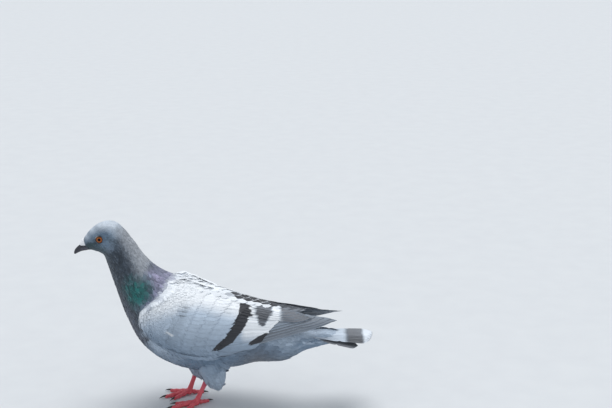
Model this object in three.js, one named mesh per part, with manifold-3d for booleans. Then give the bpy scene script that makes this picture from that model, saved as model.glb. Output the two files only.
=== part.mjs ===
// A standing rock pigeon at life size, in a natural alert stance.
// Millimetres. +X points to the bill, +Y to the bird's left, +Z up; the floor is z = 0.
// Body, neck and head are one smooth form, parted by thin cuts. Each wing is a shell laid on
// the body's side, and the tail is a slightly domed blade that grows from the tail coverts.

import * as THREE from "three";
import { mergeVertices } from "three/addons/utils/BufferGeometryUtils.js";
import Module from "manifold-3d";

const wasm = await Module();
wasm.setup();

// ---------------------------------------------------------------- driving dimensions

const joinGap = 0.3; // between nodes that touch
const bodySegments = 24; // points round a body section
const eggShape = 0.08; // how much wider a section is above its middle than below

// The body's outline from tail root to bill: the back and belly points of each named section
// in the plane of symmetry, and half its width.
const bodySections = [
  { name: "tailRoot", back: [-84, 80], belly: [-84, 56], half: 15 },
  { name: "rump", back: [-60, 89], belly: [-58, 44.8], half: 23 },
  { name: "vent", back: [-27, 104.5], belly: [-31, 42.6], half: 31 },
  { name: "loin", back: [0, 117], belly: [-2, 37], half: 38 },
  { name: "keel", back: [24.5, 129], belly: [29.5, 35.5], half: 43 },
  { name: "breast", back: [49, 137], belly: [62.5, 46.8], half: 42.5 },
  { name: "shoulder", back: [68.5, 147], belly: [86, 66.5], half: 36 },
  { name: "neckBase", back: [82, 160.5], belly: [101, 95.5], half: 26.5 },
  { name: "midNeck", back: [93, 177], belly: [112.5, 129.5], half: 19 },
  { name: "nape", back: [104, 191], belly: [121, 159], half: 15 },
  { name: "crown", back: [114, 196.4], belly: [126.5, 165], half: 12.7 },
  { name: "eye", back: [125.8, 194.2], belly: [131, 165.5], half: 11.2 },
  { name: "lores", back: [136.2, 186.3], belly: [135.6, 165.4], half: 7.8 },
  { name: "billBase", back: [142.9, 177.3], belly: [139.2, 165], half: 4.6 },
];
const sectionAt = (name) => bodySections.findIndex((s) => s.name === name);
const neckCut = sectionAt("shoulder") + 0.45; // where the neck leaves the torso
const headCut = sectionAt("nape") + 0.1; // where the head leaves the neck

// A folded wing, left side: where its upper inner edge and its lower outer edge run in each
// upright section, and how far the shell bulges out and how thick it is between them.
const wingSections = [
  { x: 84, upper: [35, 107], lower: [39, 101], bulge: 1, thick: 5 },
  { x: 76, upper: [28, 121.5], lower: [41, 87], bulge: 9.5, thick: 12 },
  { x: 63, upper: [19.5, 133.5], lower: [42, 76.5], bulge: 15.5, thick: 16 },
  { x: 43, upper: [12, 136.5], lower: [42, 68], bulge: 19, thick: 16 },
  { x: 20, upper: [7.5, 129], lower: [41.5, 64], bulge: 19, thick: 14 },
  { x: -5, upper: [4.5, 120.5], lower: [38, 65], bulge: 15.5, thick: 12 },
  { x: -28, upper: [3.4, 113], lower: [33.5, 71], bulge: 10.5, thick: 9 },
  { x: -53, upper: [3.4, 106.5], lower: [28.5, 77], bulge: 5.5, thick: 5 },
  { x: -85, upper: [4.6, 99.5], lower: [21.5, 84], bulge: 2.5, thick: 3 },
  { x: -108, upper: [7.5, 96], lower: [18, 89.5], bulge: 1.2, thick: 2 },
  { x: -117.5, upper: [11.5, 94.5], lower: [15.5, 92.5], bulge: 0.3, thick: 1 },
];
const rightWingLonger = 6; // the right wing's tip lies this much further back
const wingPoints = 10; // points across the outer face of the wing's core
const wingCoreRings = 12;
const wingCoreEnd = -18;
const wingCoreSink = 2; // how far the core's rear end lies under the face of the feathers
const vaneSteps = [0, 0.4, 0.74, 0.92, 1]; // rings along a vane from root to tip
const secondaries = {
  count: 7,
  rootX: [-2, 12],
  tipX: [-66, -42],
  rootAcross: [0.26, 0.86],
  tipAcross: [0.3, 0.92],
  half: [8, 7],
  height: [-1.4, 0.4],
  tilt: 0.35,
  thick: 0.9,
  tipStart: 0.8,
  uneven: 1.2,
};
const tertials = {
  count: 4,
  rootX: [8, 2],
  tipX: [-72, -92],
  rootAcross: [0.08, 0.26],
  tipAcross: [0.12, 0.36],
  half: [5.5, 7.5],
  height: [-1.2, 0.9],
  tilt: 0.35,
  thick: 0.9,
  tipStart: 0.78,
  uneven: 1.5,
};
const greatCoverts = {
  count: 9,
  rootX: [12, 44],
  tipX: [-31, 3],
  rootAcross: [0.07, 0.9],
  tipAcross: [0.08, 0.95],
  half: [6.5, 5.5],
  height: [-1.2, 1.2],
  tilt: 0.35,
  thick: 1.6,
  tipStart: 0.76,
  uneven: 0.8,
};
const primaries = {
  tipX: [-115.5, -117.5, -113, -106.5, -99, -91.5, -84, -76],
  rootX: 0,
  rootStep: -1,
  half: 5.5,
  step: 1.9,
  fullChord: 35,
  depth: 2,
  layer: 0.27,
  sink: 1.5,
  tilt: 0.15,
  thick: 0.75,
  tipStart: 0.72,
};

const tail = {
  pairs: 6,
  rootX: -84,
  tipX: -155,
  rootSunk: 6,
  rootZ: 77,
  tipZ: 75,
  halfRoot: 14.5,
  halfTip: 27,
  innerY: 2,
  stepY: 3.3,
  rootStepX: 0.8,
  rootStepY: 1.6,
  half: 8.5,
  dome: 2,
  layer: 0.45,
  thick: 0.75,
  tipStart: 0.86,
  roundEnd: 6,
  drop: 4,
  shorter: 10,
  coverEnd: -116,
  coverTop: [79.5, 76.5],
  coverBottom: [56.3, 67.5],
};

const eye = { x: 124.5, y: 7.6, z: 179.2, radius: 5 };
const lid = { radius: 4.7, tube: 0.75, stand: 0.5 };
const eggSegments = 14; // round an eyeball; other balls say how many they have

// Each half of the bill lies between a top and a bottom line of (x, z) points, from the face
// to the tip, and half says how wide it is at each. The halves meet along the mouth.
const bill = {
  upperTop: [[142, 173.8], [146.4, 171], [149.6, 168.4], [151.8, 165.8], [153, 162.9]],
  upperBottom: [[140.4, 168], [145.4, 167.1], [148.8, 165.2], [151, 162.6], [152.4, 160.6]],
  upperHalf: [4, 3.4, 2.8, 2, 1],
  lowerTop: [[140.3, 167.7], [145.2, 166.8], [148, 165.2], [150.2, 162.9]],
  lowerBottom: [[139.6, 165], [144.4, 164.2], [147.4, 162.9], [149.8, 161.8]],
  lowerHalf: [3.6, 3, 2.2, 0.9],
};
const billFront = 0.35; // how far the bill's root stands off the face
const mouthSlit = { x: 137.6, y: 5.6, z: 168.4, length: 8, width: 3, height: 0.6, slope: 0.2 };
const nostril = { x: 147, y: 3, z: 168.9, length: 3.2, width: 2, height: 0.5, slope: 0.5 };
const cere = { x: 143.2, y: 1.8, z: 173.3, radii: [3.6, 2.3, 3.4], segments: 10 };

// turned says how far a foot points to the bird's left of straight ahead, in degrees.
const legs = [
  {
    side: "left",
    sign: 1,
    hip: [14, 14.5, 50],
    tuft: [8, 15.5, 21.5],
    hock: [17, 15.5, 31],
    foot: [30, 15],
    turned: 28,
  },
  {
    side: "right",
    sign: -1,
    hip: [30, -14.5, 50],
    tuft: [26.5, -15.5, 21.5],
    hock: [30, -15.5, 31],
    foot: [40, -14.5],
    turned: 18,
  },
];
const tarsus = { top: 3.1, middle: 2.3, knuckle: 3.2, height: 2.9, rings: 8, sides: 12 };
const knuckle = { wide: 3.6, high: 3.4, segments: 9 }; // the ball where the toes meet
const thigh = { top: 16, middle: 11.5, end: 5, middleShare: 0.65, rings: 7, sides: 14 };
// Toes as a pigeon has them: 1 points back, 2 is the inner one, 3 the middle, 4 the outer.
const toes = [
  { number: 1, turn: 172, length: 14, root: 2.5, tip: 1.7, claw: 6 },
  { number: 2, turn: 30, length: 20, root: 2.7, tip: 1.8, claw: 6.5 },
  { number: 3, turn: 6, length: 25, root: 2.9, tip: 1.9, claw: 7 },
  { number: 4, turn: -36, length: 20, root: 2.7, tip: 1.8, claw: 6.5 },
];
const toeJoints = 3;
const toeShape = { start: 1.2, ringsPerJoint: 3, sides: 8, swell: 0.13, rootHigh: 0.86, arch: 1.6 };
const clawShape = { rings: 6, sides: 6, thick: 0.8, flat: 0.75, tip: 0.25, low: 0.3 };
const clawCurve = { reach: 1.25, drop: 1.45 }; // angles that a claw turns through, in radians
const floor = { length: 400, width: 200, depth: 20 }; // a block that trims what lies below it

const colours = {
  head: 0x6d7b88,
  neck: 0x3c4a50,
  torso: 0x77838f,
  wing: 0xb4bcc6,
  tail: 0x8d98a6,
  thigh: 0x8493a4,
  scale: 0xc8404c,
  claw: 0x2b2528,
  bill: 0x35333a,
  cere: 0xe4e0e2,
  iris: 0xd2682a,
};

// ---------------------------------------------------------------- shaping tools

const V = (x, y, z) => new THREE.Vector3(x, y, z);

// Value of a list of numbers at a fractional place, on a smooth curve through them all.
function smoothAt(values, place) {
  const last = values.length - 1;
  const i = Math.min(Math.max(Math.floor(place), 0), last - 1);
  const t = place - i;
  const at = (k) => {
    if (k < 0) return 2 * values[0] - values[1];
    if (k > last) return 2 * values[last] - values[last - 1];
    return values[k];
  };
  const [a, b, c, d] = [at(i - 1), at(i), at(i + 1), at(i + 2)];
  const m0 = (c - a) / 2;
  const m1 = (d - b) / 2;
  const t2 = t * t;
  const t3 = t2 * t;
  return (2 * t3 - 3 * t2 + 1) * b + (t3 - 2 * t2 + t) * m0 + (3 * t2 - 2 * t3) * c + (t3 - t2) * m1;
}

// Closes a stack of rings into one body. A ring's second half lies under its first half, so
// its quads are split the other way round and both faces of a thin form match.
function loft(rings) {
  const n = rings[0].length;
  const position = rings.flat().flatMap((p) => [p.x, p.y, p.z]);
  const index = [];
  for (let i = 0; i < rings.length - 1; i++) {
    for (let j = 0; j < n; j++) {
      const [a, b] = [i * n + j, i * n + ((j + 1) % n)];
      const [c, d] = [a + n, b + n];
      if (j < n / 2) index.push(a, b, d, a, d, c);
      else index.push(a, b, c, b, d, c);
    }
  }
  const last = rings.length - 1;
  for (const [ring, flip] of [[0, true], [last, false]]) {
    const middle = rings[ring].reduce((s, p) => s.add(p), V(0, 0, 0)).divideScalar(n);
    const hub = position.length / 3;
    position.push(middle.x, middle.y, middle.z);
    for (let j = 0; j < n; j++) {
      const [a, b] = [ring * n + j, ring * n + ((j + 1) % n)];
      index.push(...(flip ? [b, a, hub] : [a, b, hub]));
    }
  }
  const geometry = new THREE.BufferGeometry();
  geometry.setAttribute("position", new THREE.Float32BufferAttribute(position, 3));
  geometry.setIndex(index);
  return geometry;
}

// A closed geometry as a solid that can be joined and cut.
function solid(geometry) {
  const bare = new THREE.BufferGeometry();
  bare.setAttribute("position", geometry.getAttribute("position"));
  bare.setIndex(geometry.index);
  const merged = mergeVertices(bare, 1e-4);
  const vertProperties = Float32Array.from(merged.attributes.position.array);
  const triVerts = Uint32Array.from(merged.index.array);
  const made = new wasm.Manifold(new wasm.Mesh({ numProp: 3, vertProperties, triVerts }));
  if (made.volume() > 0) return made;
  for (let i = 0; i < triVerts.length; i += 3) {
    [triVerts[i + 1], triVerts[i + 2]] = [triVerts[i + 2], triVerts[i + 1]];
  }
  return new wasm.Manifold(new wasm.Mesh({ numProp: 3, vertProperties, triVerts }));
}

const solidLoft = (rings) => solid(loft(rings));
const joined = (solids) => solids.reduce((a, b) => a.add(b));
const cut = (from, cutters) => cutters.reduce((a, b) => a.subtract(b), from);

// The largest closed surface of a solid, so that no loose scrap or sealed hollow is left.
function largest(made) {
  return made.decompose().reduce((a, b) => (b.volume() > a.volume() ? b : a));
}

function geometryOf(made) {
  const mesh = made.getMesh();
  const geometry = new THREE.BufferGeometry();
  geometry.setAttribute("position", new THREE.Float32BufferAttribute(mesh.vertProperties, 3));
  geometry.setIndex(Array.from(mesh.triVerts));
  geometry.computeVertexNormals();
  return geometry;
}

const pigeon = new THREE.Group();
pigeon.name = "pigeon";

function addNode(name, made, colour, roughness = 0.8) {
  const material = new THREE.MeshStandardMaterial({ color: colour, roughness, metalness: 0 });
  const mesh = new THREE.Mesh(geometryOf(largest(made)), material);
  mesh.name = name;
  pigeon.add(mesh);
}

// ---------------------------------------------------------------- head, neck and torso

const bodyValues = {
  backX: bodySections.map((s) => s.back[0]),
  backZ: bodySections.map((s) => s.back[1]),
  bellyX: bodySections.map((s) => s.belly[0]),
  bellyZ: bodySections.map((s) => s.belly[1]),
  half: bodySections.map((s) => s.half),
};

function bodyRing(place, grow = 0) {
  const at = (key) => smoothAt(bodyValues[key], place);
  const back = V(at("backX"), 0, at("backZ"));
  const belly = V(at("bellyX"), 0, at("bellyZ"));
  const middle = back.clone().add(belly).multiplyScalar(0.5);
  const up = back.sub(belly).multiplyScalar(0.5);
  up.setLength(up.length() + grow);
  const half = at("half") + grow;
  return Array.from({ length: bodySegments }, (_, k) => {
    const angle = (2 * Math.PI * k) / bodySegments;
    const across = half * Math.sin(angle) * (1 + eggShape * Math.cos(angle));
    return middle.clone().addScaledVector(up, Math.cos(angle)).add(V(0, across, 0));
  });
}

// How far the narrower side of the body moves per unit of place.
function bodySpeed(place) {
  const step = 0.01;
  const move = (x, z) => {
    const dx = smoothAt(bodyValues[x], place + step) - smoothAt(bodyValues[x], place - step);
    const dz = smoothAt(bodyValues[z], place + step) - smoothAt(bodyValues[z], place - step);
    return Math.hypot(dx, dz) / (2 * step);
  };
  return Math.min(move("backX", "backZ"), move("bellyX", "bellyZ"));
}

function bodyLength(from, to, ringsPerSection, grow = 0) {
  const count = Math.ceil((to - from) * ringsPerSection);
  const places = Array.from({ length: count + 1 }, (_, i) => from + ((to - from) * i) / count);
  return solidLoft(places.map((place) => bodyRing(place, grow)));
}

const halfGapAt = (place) => joinGap / 2 / bodySpeed(place);
const lastPlace = bodySections.length - 1;
const torsoSolid = bodyLength(0, neckCut - halfGapAt(neckCut), 3);
const neckSolid = bodyLength(neckCut + halfGapAt(neckCut), headCut - halfGapAt(headCut), 3);
const bodyGrown = bodyLength(0, headCut, 3, joinGap);

addNode("torso", torsoSolid, colours.torso);
addNode("neck", neckSolid, colours.neck);

// A ball or egg at a place.
function ball(x, y, z, radii, segments = eggSegments) {
  const geometry = new THREE.SphereGeometry(1, segments, Math.round(segments * 0.7));
  geometry.scale(...radii).translate(x, y, z);
  return solid(geometry);
}

// The rim of the lids: a ring laid round the eye, facing out from the head.
function lidRing(sign) {
  const geometry = new THREE.TorusGeometry(lid.radius, lid.tube, 6, 16);
  geometry.rotateX(Math.PI / 2);
  const out = Math.sqrt(eye.radius ** 2 - lid.radius ** 2) + lid.stand;
  geometry.translate(eye.x, sign * (eye.y + out), eye.z);
  return solid(geometry);
}

// A thin slanted slit on one side: the mouth's line in the head, or a nostril in the bill.
function slit(shape, sign) {
  const geometry = new THREE.BoxGeometry(shape.length, shape.width, shape.height);
  geometry.rotateY(shape.slope).translate(shape.x, sign * shape.y, shape.z);
  return solid(geometry);
}

const eyeSeat = (sign, grow) => {
  const r = eye.radius + grow;
  return ball(eye.x, sign * eye.y, eye.z, [r, r, r]);
};
let headSolid = bodyLength(headCut + halfGapAt(headCut), lastPlace, 4);
headSolid = joined([headSolid, lidRing(1), lidRing(-1)]);
const eyeSeats = [eyeSeat(1, joinGap), eyeSeat(-1, joinGap)];
headSolid = cut(headSolid, [...eyeSeats, slit(mouthSlit, 1), slit(mouthSlit, -1)]);
addNode("head", headSolid, colours.head);
addNode("eye_left", eyeSeat(1, 0), colours.iris, 0.1);
addNode("eye_right", eyeSeat(-1, 0), colours.iris, 0.1);

// ---------------------------------------------------------------- bill and cere

// One half of the bill: rings run from the face to the tip, between a top and a bottom line.
// Each ring is arched on its outer side (arched 1 upwards, -1 downwards) and flat at the mouth.
function mandible(arched, top, bottom, half, grow = 0, steps = 9, points = 14) {
  const rings = Array.from({ length: steps + 1 }, (_, i) => {
    const place = ((top.length - 1) * i) / steps;
    const at = (line, k) => smoothAt(line.map((p) => p[k]), place);
    const push = billFront + grow * (i === 0 ? -1 : i / steps);
    const [high, low] = [at(top, 1) + grow, at(bottom, 1) - grow];
    const wide = smoothAt(half, place) + grow;
    return Array.from({ length: points }, (_, k) => {
      const angle = (2 * Math.PI * k) / points;
      const arch = Math.max(0, arched * Math.cos(angle));
      const up = arched > 0 ? arch : 1 - arch;
      const x = push + at(bottom, 0) + (at(top, 0) - at(bottom, 0)) * up;
      return V(x, wide * Math.sin(angle), low + (high - low) * up);
    });
  });
  return solidLoft(rings);
}

const upperMandible = (grow) => mandible(1, bill.upperTop, bill.upperBottom, bill.upperHalf, grow);
const headSeat = bodyLength(lastPlace - 2, lastPlace, 4, joinGap);
const upperBill = cut(upperMandible(0), [slit(nostril, 1), slit(nostril, -1), headSeat]);
const lowerMandible = mandible(-1, bill.lowerTop, bill.lowerBottom, bill.lowerHalf);
const lowerBill = cut(lowerMandible, [upperMandible(joinGap), headSeat]);
const cereLobes = [1, -1].map((sign) => {
  return ball(cere.x, sign * cere.y, cere.z, cere.radii, cere.segments);
});
addNode("bill_upper", upperBill, colours.bill, 0.4);
addNode("bill_lower", lowerBill, colours.bill, 0.4);
addNode("cere", cut(joined(cereLobes), [upperMandible(joinGap), headSeat]), colours.cere, 0.7);

// ---------------------------------------------------------------- wings

const wingX = wingSections.map((s) => s.x);

// Fractional place among the wing sections of a station along X.
function wingPlace(x) {
  let i = 0;
  while (i < wingX.length - 2 && x < wingX[i + 1]) i++;
  return i + (wingX[i] - x) / (wingX[i] - wingX[i + 1]);
}

// The frame of the left wing's outer face at station x: its ends, outward normal and sizes.
function wingSection(x) {
  const place = wingPlace(x);
  const at = (pick) => smoothAt(wingSections.map(pick), place);
  const upper = V(x, at((s) => s.upper[0]), at((s) => s.upper[1]));
  const lower = V(x, at((s) => s.lower[0]), at((s) => s.lower[1]));
  const chord = lower.clone().sub(upper);
  const out = V(0, -chord.z, chord.y).normalize();
  return { upper, lower, out, bulge: at((s) => s.bulge), thick: at((s) => s.thick) };
}

// A point of the left wing: across runs from 0 at the upper edge to 1 at the lower edge.
function wingPoint(x, across, depth = 0) {
  const s = wingSection(x);
  const lift = 4 * across * (1 - across) * s.bulge - depth;
  return s.upper.clone().lerp(s.lower, across).addScaledVector(s.out, lift);
}

// The left wing's outer face at a station and across place: the point and the way it faces.
function wingFace(x, across) {
  const point = wingPoint(x, across);
  const alongX = wingPoint(x + 0.5, across).sub(wingPoint(x - 0.5, across));
  const downwards = wingPoint(x, across + 0.01).sub(wingPoint(x, across - 0.01));
  return { point, normal: alongX.cross(downwards).normalize() };
}

// The across place of the point of the face that lies under a point in space.
function wingAcross(p) {
  const { upper, lower } = wingSection(p.x);
  const chord = lower.clone().sub(upper);
  return p.clone().sub(upper).dot(chord) / chord.lengthSq();
}

// The arm and hand with their small coverts: the wing's front half, smooth.
function wingCore() {
  const rings = Array.from({ length: wingCoreRings + 1 }, (_, i) => {
    const x = wingX[0] + ((wingCoreEnd - wingX[0]) * i) / wingCoreRings;
    const sink = wingCoreSink * Math.max(0, i / wingCoreRings - 0.4);
    const thick = wingSection(x).thick;
    const outer = [];
    const inner = [];
    for (let k = 0; k < wingPoints; k++) {
      const across = k / (wingPoints - 1);
      const rim = Math.min(1, 0.3 + 2.2 * Math.sqrt(across * (1 - across)));
      outer.push(wingPoint(x, across, sink * rim));
      inner.unshift(wingPoint(x, across, Math.max(thick * rim, sink * rim + 1)));
    }
    return [...outer, ...inner];
  });
  return solidLoft(rings);
}

// How wide a vane is along its length, as a share of its widest, with a rounded tip.
function vaneWidth(along, tipStart) {
  const root = 0.6 + 0.4 * Math.min(1, along / 0.35);
  const tip = Math.max(0, (along - tipStart) / (1 - tipStart));
  return root * Math.sqrt(Math.max(0.02, 1 - tip * tip));
}

// One feather of the left wing. path gives its x and across place from root to tip, height
// how far its upper face stands off the wing's face, and its lower edge is higher by tilt.
function wingVane({ path, half, height, tilt, thick, tipStart }) {
  const rings = vaneSteps.map((along) => {
    const [x, across] = path(along);
    const { point, normal } = wingFace(x, across);
    const next = wingPoint(...path(along + 0.02));
    const side = next.sub(point).cross(normal).normalize();
    const width = half * vaneWidth(along, tipStart);
    const thin = along === 1 ? thick * 0.5 : thick;
    const edge = (turn, depth) => {
      const p = point.clone().addScaledVector(side, turn * width);
      const face = wingFace(p.x, wingAcross(p));
      return face.point.addScaledVector(face.normal, height(along) + turn * tilt - depth);
    };
    return [edge(-1, 0), edge(1, 0), edge(1, thin), edge(-1, thin)];
  });
  return solidLoft(rings);
}

const blend = (pair, share) => pair[0] + (pair[1] - pair[0]) * share;

// A row of feathers side by side, from the wing's upper edge to its lower edge.
function wingRow(row) {
  return Array.from({ length: row.count }, (_, i) => {
    const share = i / (row.count - 1);
    const jitter = row.uneven * Math.sin(5.1 * i + row.count);
    const rootX = blend(row.rootX, share);
    const tip = blend(row.tipX, share) + jitter;
    const across = [blend(row.rootAcross, share), blend(row.tipAcross, share)];
    const path = (along) => [rootX + (tip - rootX) * along, blend(across, along)];
    const height = (along) => blend(row.height, along);
    return wingVane({ ...row, path, height, half: blend(row.half, share) });
  });
}

// The stacked primaries: the outermost lies deepest, along the wing's lower edge, and each
// of the others lies a little higher and ends a little shorter.
function primaryRow() {
  return primaries.tipX.map((tip, k) => {
    const rootX = primaries.rootX + primaries.rootStep * k;
    const path = (along) => {
      const x = rootX + (tip - rootX) * along;
      const { upper, lower } = wingSection(x);
      const chord = lower.distanceTo(upper);
      const step = primaries.step * Math.min(1, 0.3 + chord / primaries.fullChord);
      return [x, 1 - (Math.min(primaries.half, chord / 2) + step * k) / chord];
    };
    const height = (along) => -primaries.depth + primaries.layer * k - primaries.sink * (1 - along) ** 2;
    return wingVane({ ...primaries, path, height });
  });
}

function featheredWing() {
  const rows = [secondaries, tertials, greatCoverts].map(wingRow);
  return joined([wingCore(), ...primaryRow(), ...rows.flat()]);
}

function mirrored(made, longer) {
  const reach = wingX[0] - wingX[wingX.length - 1];
  const stretch = (reach + longer) / reach;
  return made.translate([-wingX[0], 0, 0]).scale([stretch, -1, 1]).translate([wingX[0], 0, 0]);
}

const leftWing = featheredWing();
addNode("wing_left", cut(leftWing, [bodyGrown]), colours.wing);
addNode("wing_right", cut(mirrored(leftWing, rightWingLonger), [bodyGrown]), colours.wing);

// ---------------------------------------------------------------- tail

// The coverts over and under the roots of the tail feathers, growing on from the torso.
function tailRoot(steps = 5, points = 16) {
  const rings = Array.from({ length: steps + 1 }, (_, i) => {
    const along = i / steps;
    const x = tail.rootX - joinGap + (tail.coverEnd - tail.rootX) * along;
    const half = tail.halfRoot * (1 - 0.25 * along ** 2);
    const [top, bottom] = [blend(tail.coverTop, along), blend(tail.coverBottom, along)];
    return Array.from({ length: points }, (_, k) => {
      const angle = (2 * Math.PI * k) / points;
      return V(x, half * Math.sin(angle), (top + bottom) / 2 + (Math.cos(angle) * (top - bottom)) / 2);
    });
  });
  return solidLoft(rings);
}

// One tail feather: pair 0 is the middle pair, on top, and each next pair lies lower and
// further out. The left outermost feather hangs a little below the rest.
function tailVane(pair, side) {
  const lowered = pair === tail.pairs - 1 && side > 0;
  const shorter = tail.roundEnd * (pair / (tail.pairs - 1)) ** 2 + (lowered ? tail.shorter : 0);
  const tipX = tail.tipX + shorter;
  const order = pair + (side > 0 ? 0 : 0.5);
  const rootX = tail.rootX - tail.rootSunk - tail.rootStepX * order;
  const rings = vaneSteps.map((along) => {
    const x = rootX + (tipX - rootX) * along;
    const tipY = tail.innerY + tail.stepY * pair;
    const y = side * blend([tail.rootStepY * (pair + 0.5), tipY], along ** 0.9);
    const drop = lowered ? tail.drop * along : 0;
    const z = blend([tail.rootZ, tail.tipZ], along) - tail.layer * order - drop;
    const half = tail.half * vaneWidth(along, tail.tipStart);
    const thin = along === 1 ? tail.thick * 0.6 : tail.thick;
    const edge = (turn, depth) => {
      const out = (y + turn * half) / tail.halfTip;
      return V(x, y + turn * half, z - tail.dome * out * out - depth);
    };
    return [edge(-1, 0), edge(1, 0), edge(1, thin), edge(-1, thin)];
  });
  return solidLoft(rings);
}

const tailVanes = [1, -1].flatMap((side) => {
  return Array.from({ length: tail.pairs }, (_, pair) => tailVane(pair, side));
});
addNode("tail", joined([tailRoot(), ...tailVanes]), colours.tail);

// ---------------------------------------------------------------- legs and feet

// A limb through points, round in section, with a radius at each point.
function limb(points, radii, steps, sides) {
  const at = (axis, place) => smoothAt(points.map((p) => p[axis]), place);
  const rings = Array.from({ length: steps + 1 }, (_, i) => {
    const place = ((points.length - 1) * i) / steps;
    const here = V(at(0, place), at(1, place), at(2, place));
    const ahead = V(at(0, place + 0.02), at(1, place + 0.02), at(2, place + 0.02));
    const along = ahead.sub(here).normalize();
    const level = V(-along.y, along.x, 0).normalize();
    const up = along.clone().cross(level);
    const radius = smoothAt(radii, place);
    return Array.from({ length: sides }, (_, k) => {
      const angle = (2 * Math.PI * k) / sides;
      const p = here.clone();
      p.addScaledVector(level, radius * Math.cos(angle)).addScaledVector(up, radius * Math.sin(angle));
      return p;
    });
  });
  return solidLoft(rings);
}

// A ring of points across a toe or claw that lies along a heading, none below the floor.
function toeRing(foot, heading, reach, z, radius, flat, sides) {
  const [cx, cy] = [foot[0] + reach * Math.cos(heading), foot[1] + reach * Math.sin(heading)];
  return Array.from({ length: sides }, (_, k) => {
    const angle = (2 * Math.PI * k) / sides;
    const side = radius * flat * Math.cos(angle);
    const height = Math.max(0, z + radius * Math.sin(angle));
    return V(cx - side * Math.sin(heading), cy + side * Math.cos(heading), height);
  });
}

// A toe with swollen joints, lying on the floor, from the knuckle outwards.
function toeSolid(foot, heading, toe, grow = 0) {
  const { start, ringsPerJoint, sides, swell, rootHigh, arch } = toeShape;
  const steps = toeJoints * ringsPerJoint;
  const rings = Array.from({ length: steps + 1 }, (_, i) => {
    const along = i / steps;
    const joint = 1 + swell * Math.cos(2 * Math.PI * along * toeJoints) ** 3;
    const thinner = (toe.root - toe.tip) * along;
    const radius = (toe.root - thinner) * joint + grow;
    const z = toe.root * rootHigh + (1 - along) ** 2 * arch - thinner;
    return toeRing(foot, heading, start + toe.length * along, z, radius, 1, sides);
  });
  return solidLoft(rings);
}

// A claw curves down from the toe's end to the floor.
function clawSolid(foot, heading, toe) {
  const { rings: steps, sides, thick, flat, tip, low } = clawShape;
  const { reach: curl, drop } = clawCurve;
  const start = toeShape.start + toe.length + joinGap;
  const rings = Array.from({ length: steps + 1 }, (_, i) => {
    const along = i / steps;
    const reach = start + (toe.claw * Math.sin(along * curl)) / Math.sin(curl);
    const radius = Math.max(tip, toe.tip * thick * (1 - along ** 1.3));
    const z = low + toe.tip * 1.05 * Math.cos(along * drop);
    return toeRing(foot, heading, reach, z, radius, flat, sides);
  });
  return solidLoft(rings);
}

const floorBlock = new THREE.BoxGeometry(floor.length, floor.width, floor.depth);
const below = solid(floorBlock.translate(0, 0, -floor.depth / 2));

for (const { side, sign, hip, tuft, hock, foot, turned } of legs) {
  const toeRoot = [foot[0], foot[1], tarsus.height];
  const middleOfThigh = hip.map((v, k) => v + (tuft[k] - v) * thigh.middleShare);
  const thighSolid = (grow) => {
    const radii = [thigh.top, thigh.middle, thigh.end].map((r) => r + grow);
    return limb([hip, middleOfThigh, tuft], radii, thigh.rings, thigh.sides);
  };
  const shankSolid = (grow) => {
    const line = [hock, hock.map((v, k) => (v + toeRoot[k]) / 2), toeRoot];
    const radii = [tarsus.top, tarsus.middle, tarsus.knuckle].map((r) => r + grow);
    const [wide, high] = [knuckle.wide + grow, knuckle.high + grow];
    const end = ball(...toeRoot, [wide, wide, high], knuckle.segments);
    return limb(line, radii, tarsus.rings, tarsus.sides).add(end);
  };
  addNode(`thigh_${side}`, cut(thighSolid(0), [bodyGrown]), colours.thigh);
  addNode(`tarsus_${side}`, cut(shankSolid(0), [below, thighSolid(joinGap)]), colours.scale, 0.6);
  const taken = [shankSolid(joinGap)];
  for (const toe of toes) {
    const heading = ((turned - sign * toe.turn) * Math.PI) / 180;
    addNode(`toe_${side}_${toe.number}`, cut(toeSolid(foot, heading, toe), taken), colours.scale, 0.6);
    addNode(`claw_${side}_${toe.number}`, clawSolid(foot, heading, toe), colours.claw, 0.4);
    taken.push(toeSolid(foot, heading, toe, joinGap));
  }
}

export default pigeon;
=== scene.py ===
import math

import bmesh
import bpy
import numpy as np
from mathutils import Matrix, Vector
from mathutils.kdtree import KDTree


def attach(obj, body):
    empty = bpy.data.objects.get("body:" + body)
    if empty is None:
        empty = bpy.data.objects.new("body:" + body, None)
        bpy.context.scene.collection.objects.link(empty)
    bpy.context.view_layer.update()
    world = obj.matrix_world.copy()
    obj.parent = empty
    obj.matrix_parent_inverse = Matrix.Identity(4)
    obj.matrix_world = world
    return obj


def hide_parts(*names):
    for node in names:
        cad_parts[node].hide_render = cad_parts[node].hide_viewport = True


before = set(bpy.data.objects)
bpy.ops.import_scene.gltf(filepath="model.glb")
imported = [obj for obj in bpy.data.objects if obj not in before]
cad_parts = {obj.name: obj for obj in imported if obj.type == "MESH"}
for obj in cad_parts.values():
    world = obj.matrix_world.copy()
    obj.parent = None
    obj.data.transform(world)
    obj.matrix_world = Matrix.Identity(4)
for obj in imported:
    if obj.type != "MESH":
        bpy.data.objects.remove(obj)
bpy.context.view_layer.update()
mm = 0.001
fullTurn = 2 * math.pi
dice = np.random.default_rng(11)
pieces = []  # every finished piece, with the name of a slot of the record beside it


# Values of a smooth curve through a list of numbers, at fractional places of the list.
def curveAt(values, place):
    knots = np.asarray(values, float)
    place = np.clip(np.asarray(place, float), 0, len(knots) - 1)
    i = np.minimum(place.astype(int), len(knots) - 2)
    t = place - i
    padded = np.concatenate([[2 * knots[0] - knots[1]], knots, [2 * knots[-1] - knots[-2]]])
    a, b, c, d = (padded[i + k] for k in range(4))
    start = (2 * t**3 - 3 * t**2 + 1) * b + (t**3 - 2 * t**2 + t) * (c - a) / 2
    return start + (3 * t**2 - 2 * t**3) * c + (t**3 - t**2) * (d - b) / 2


def smoothStep(low, high, value):
    t = np.clip((np.asarray(value, float) - low) / (high - low), 0, 1)
    return t * t * (3 - 2 * t)


def lerp(first, second, share):
    return first + (second - first) * share


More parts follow.
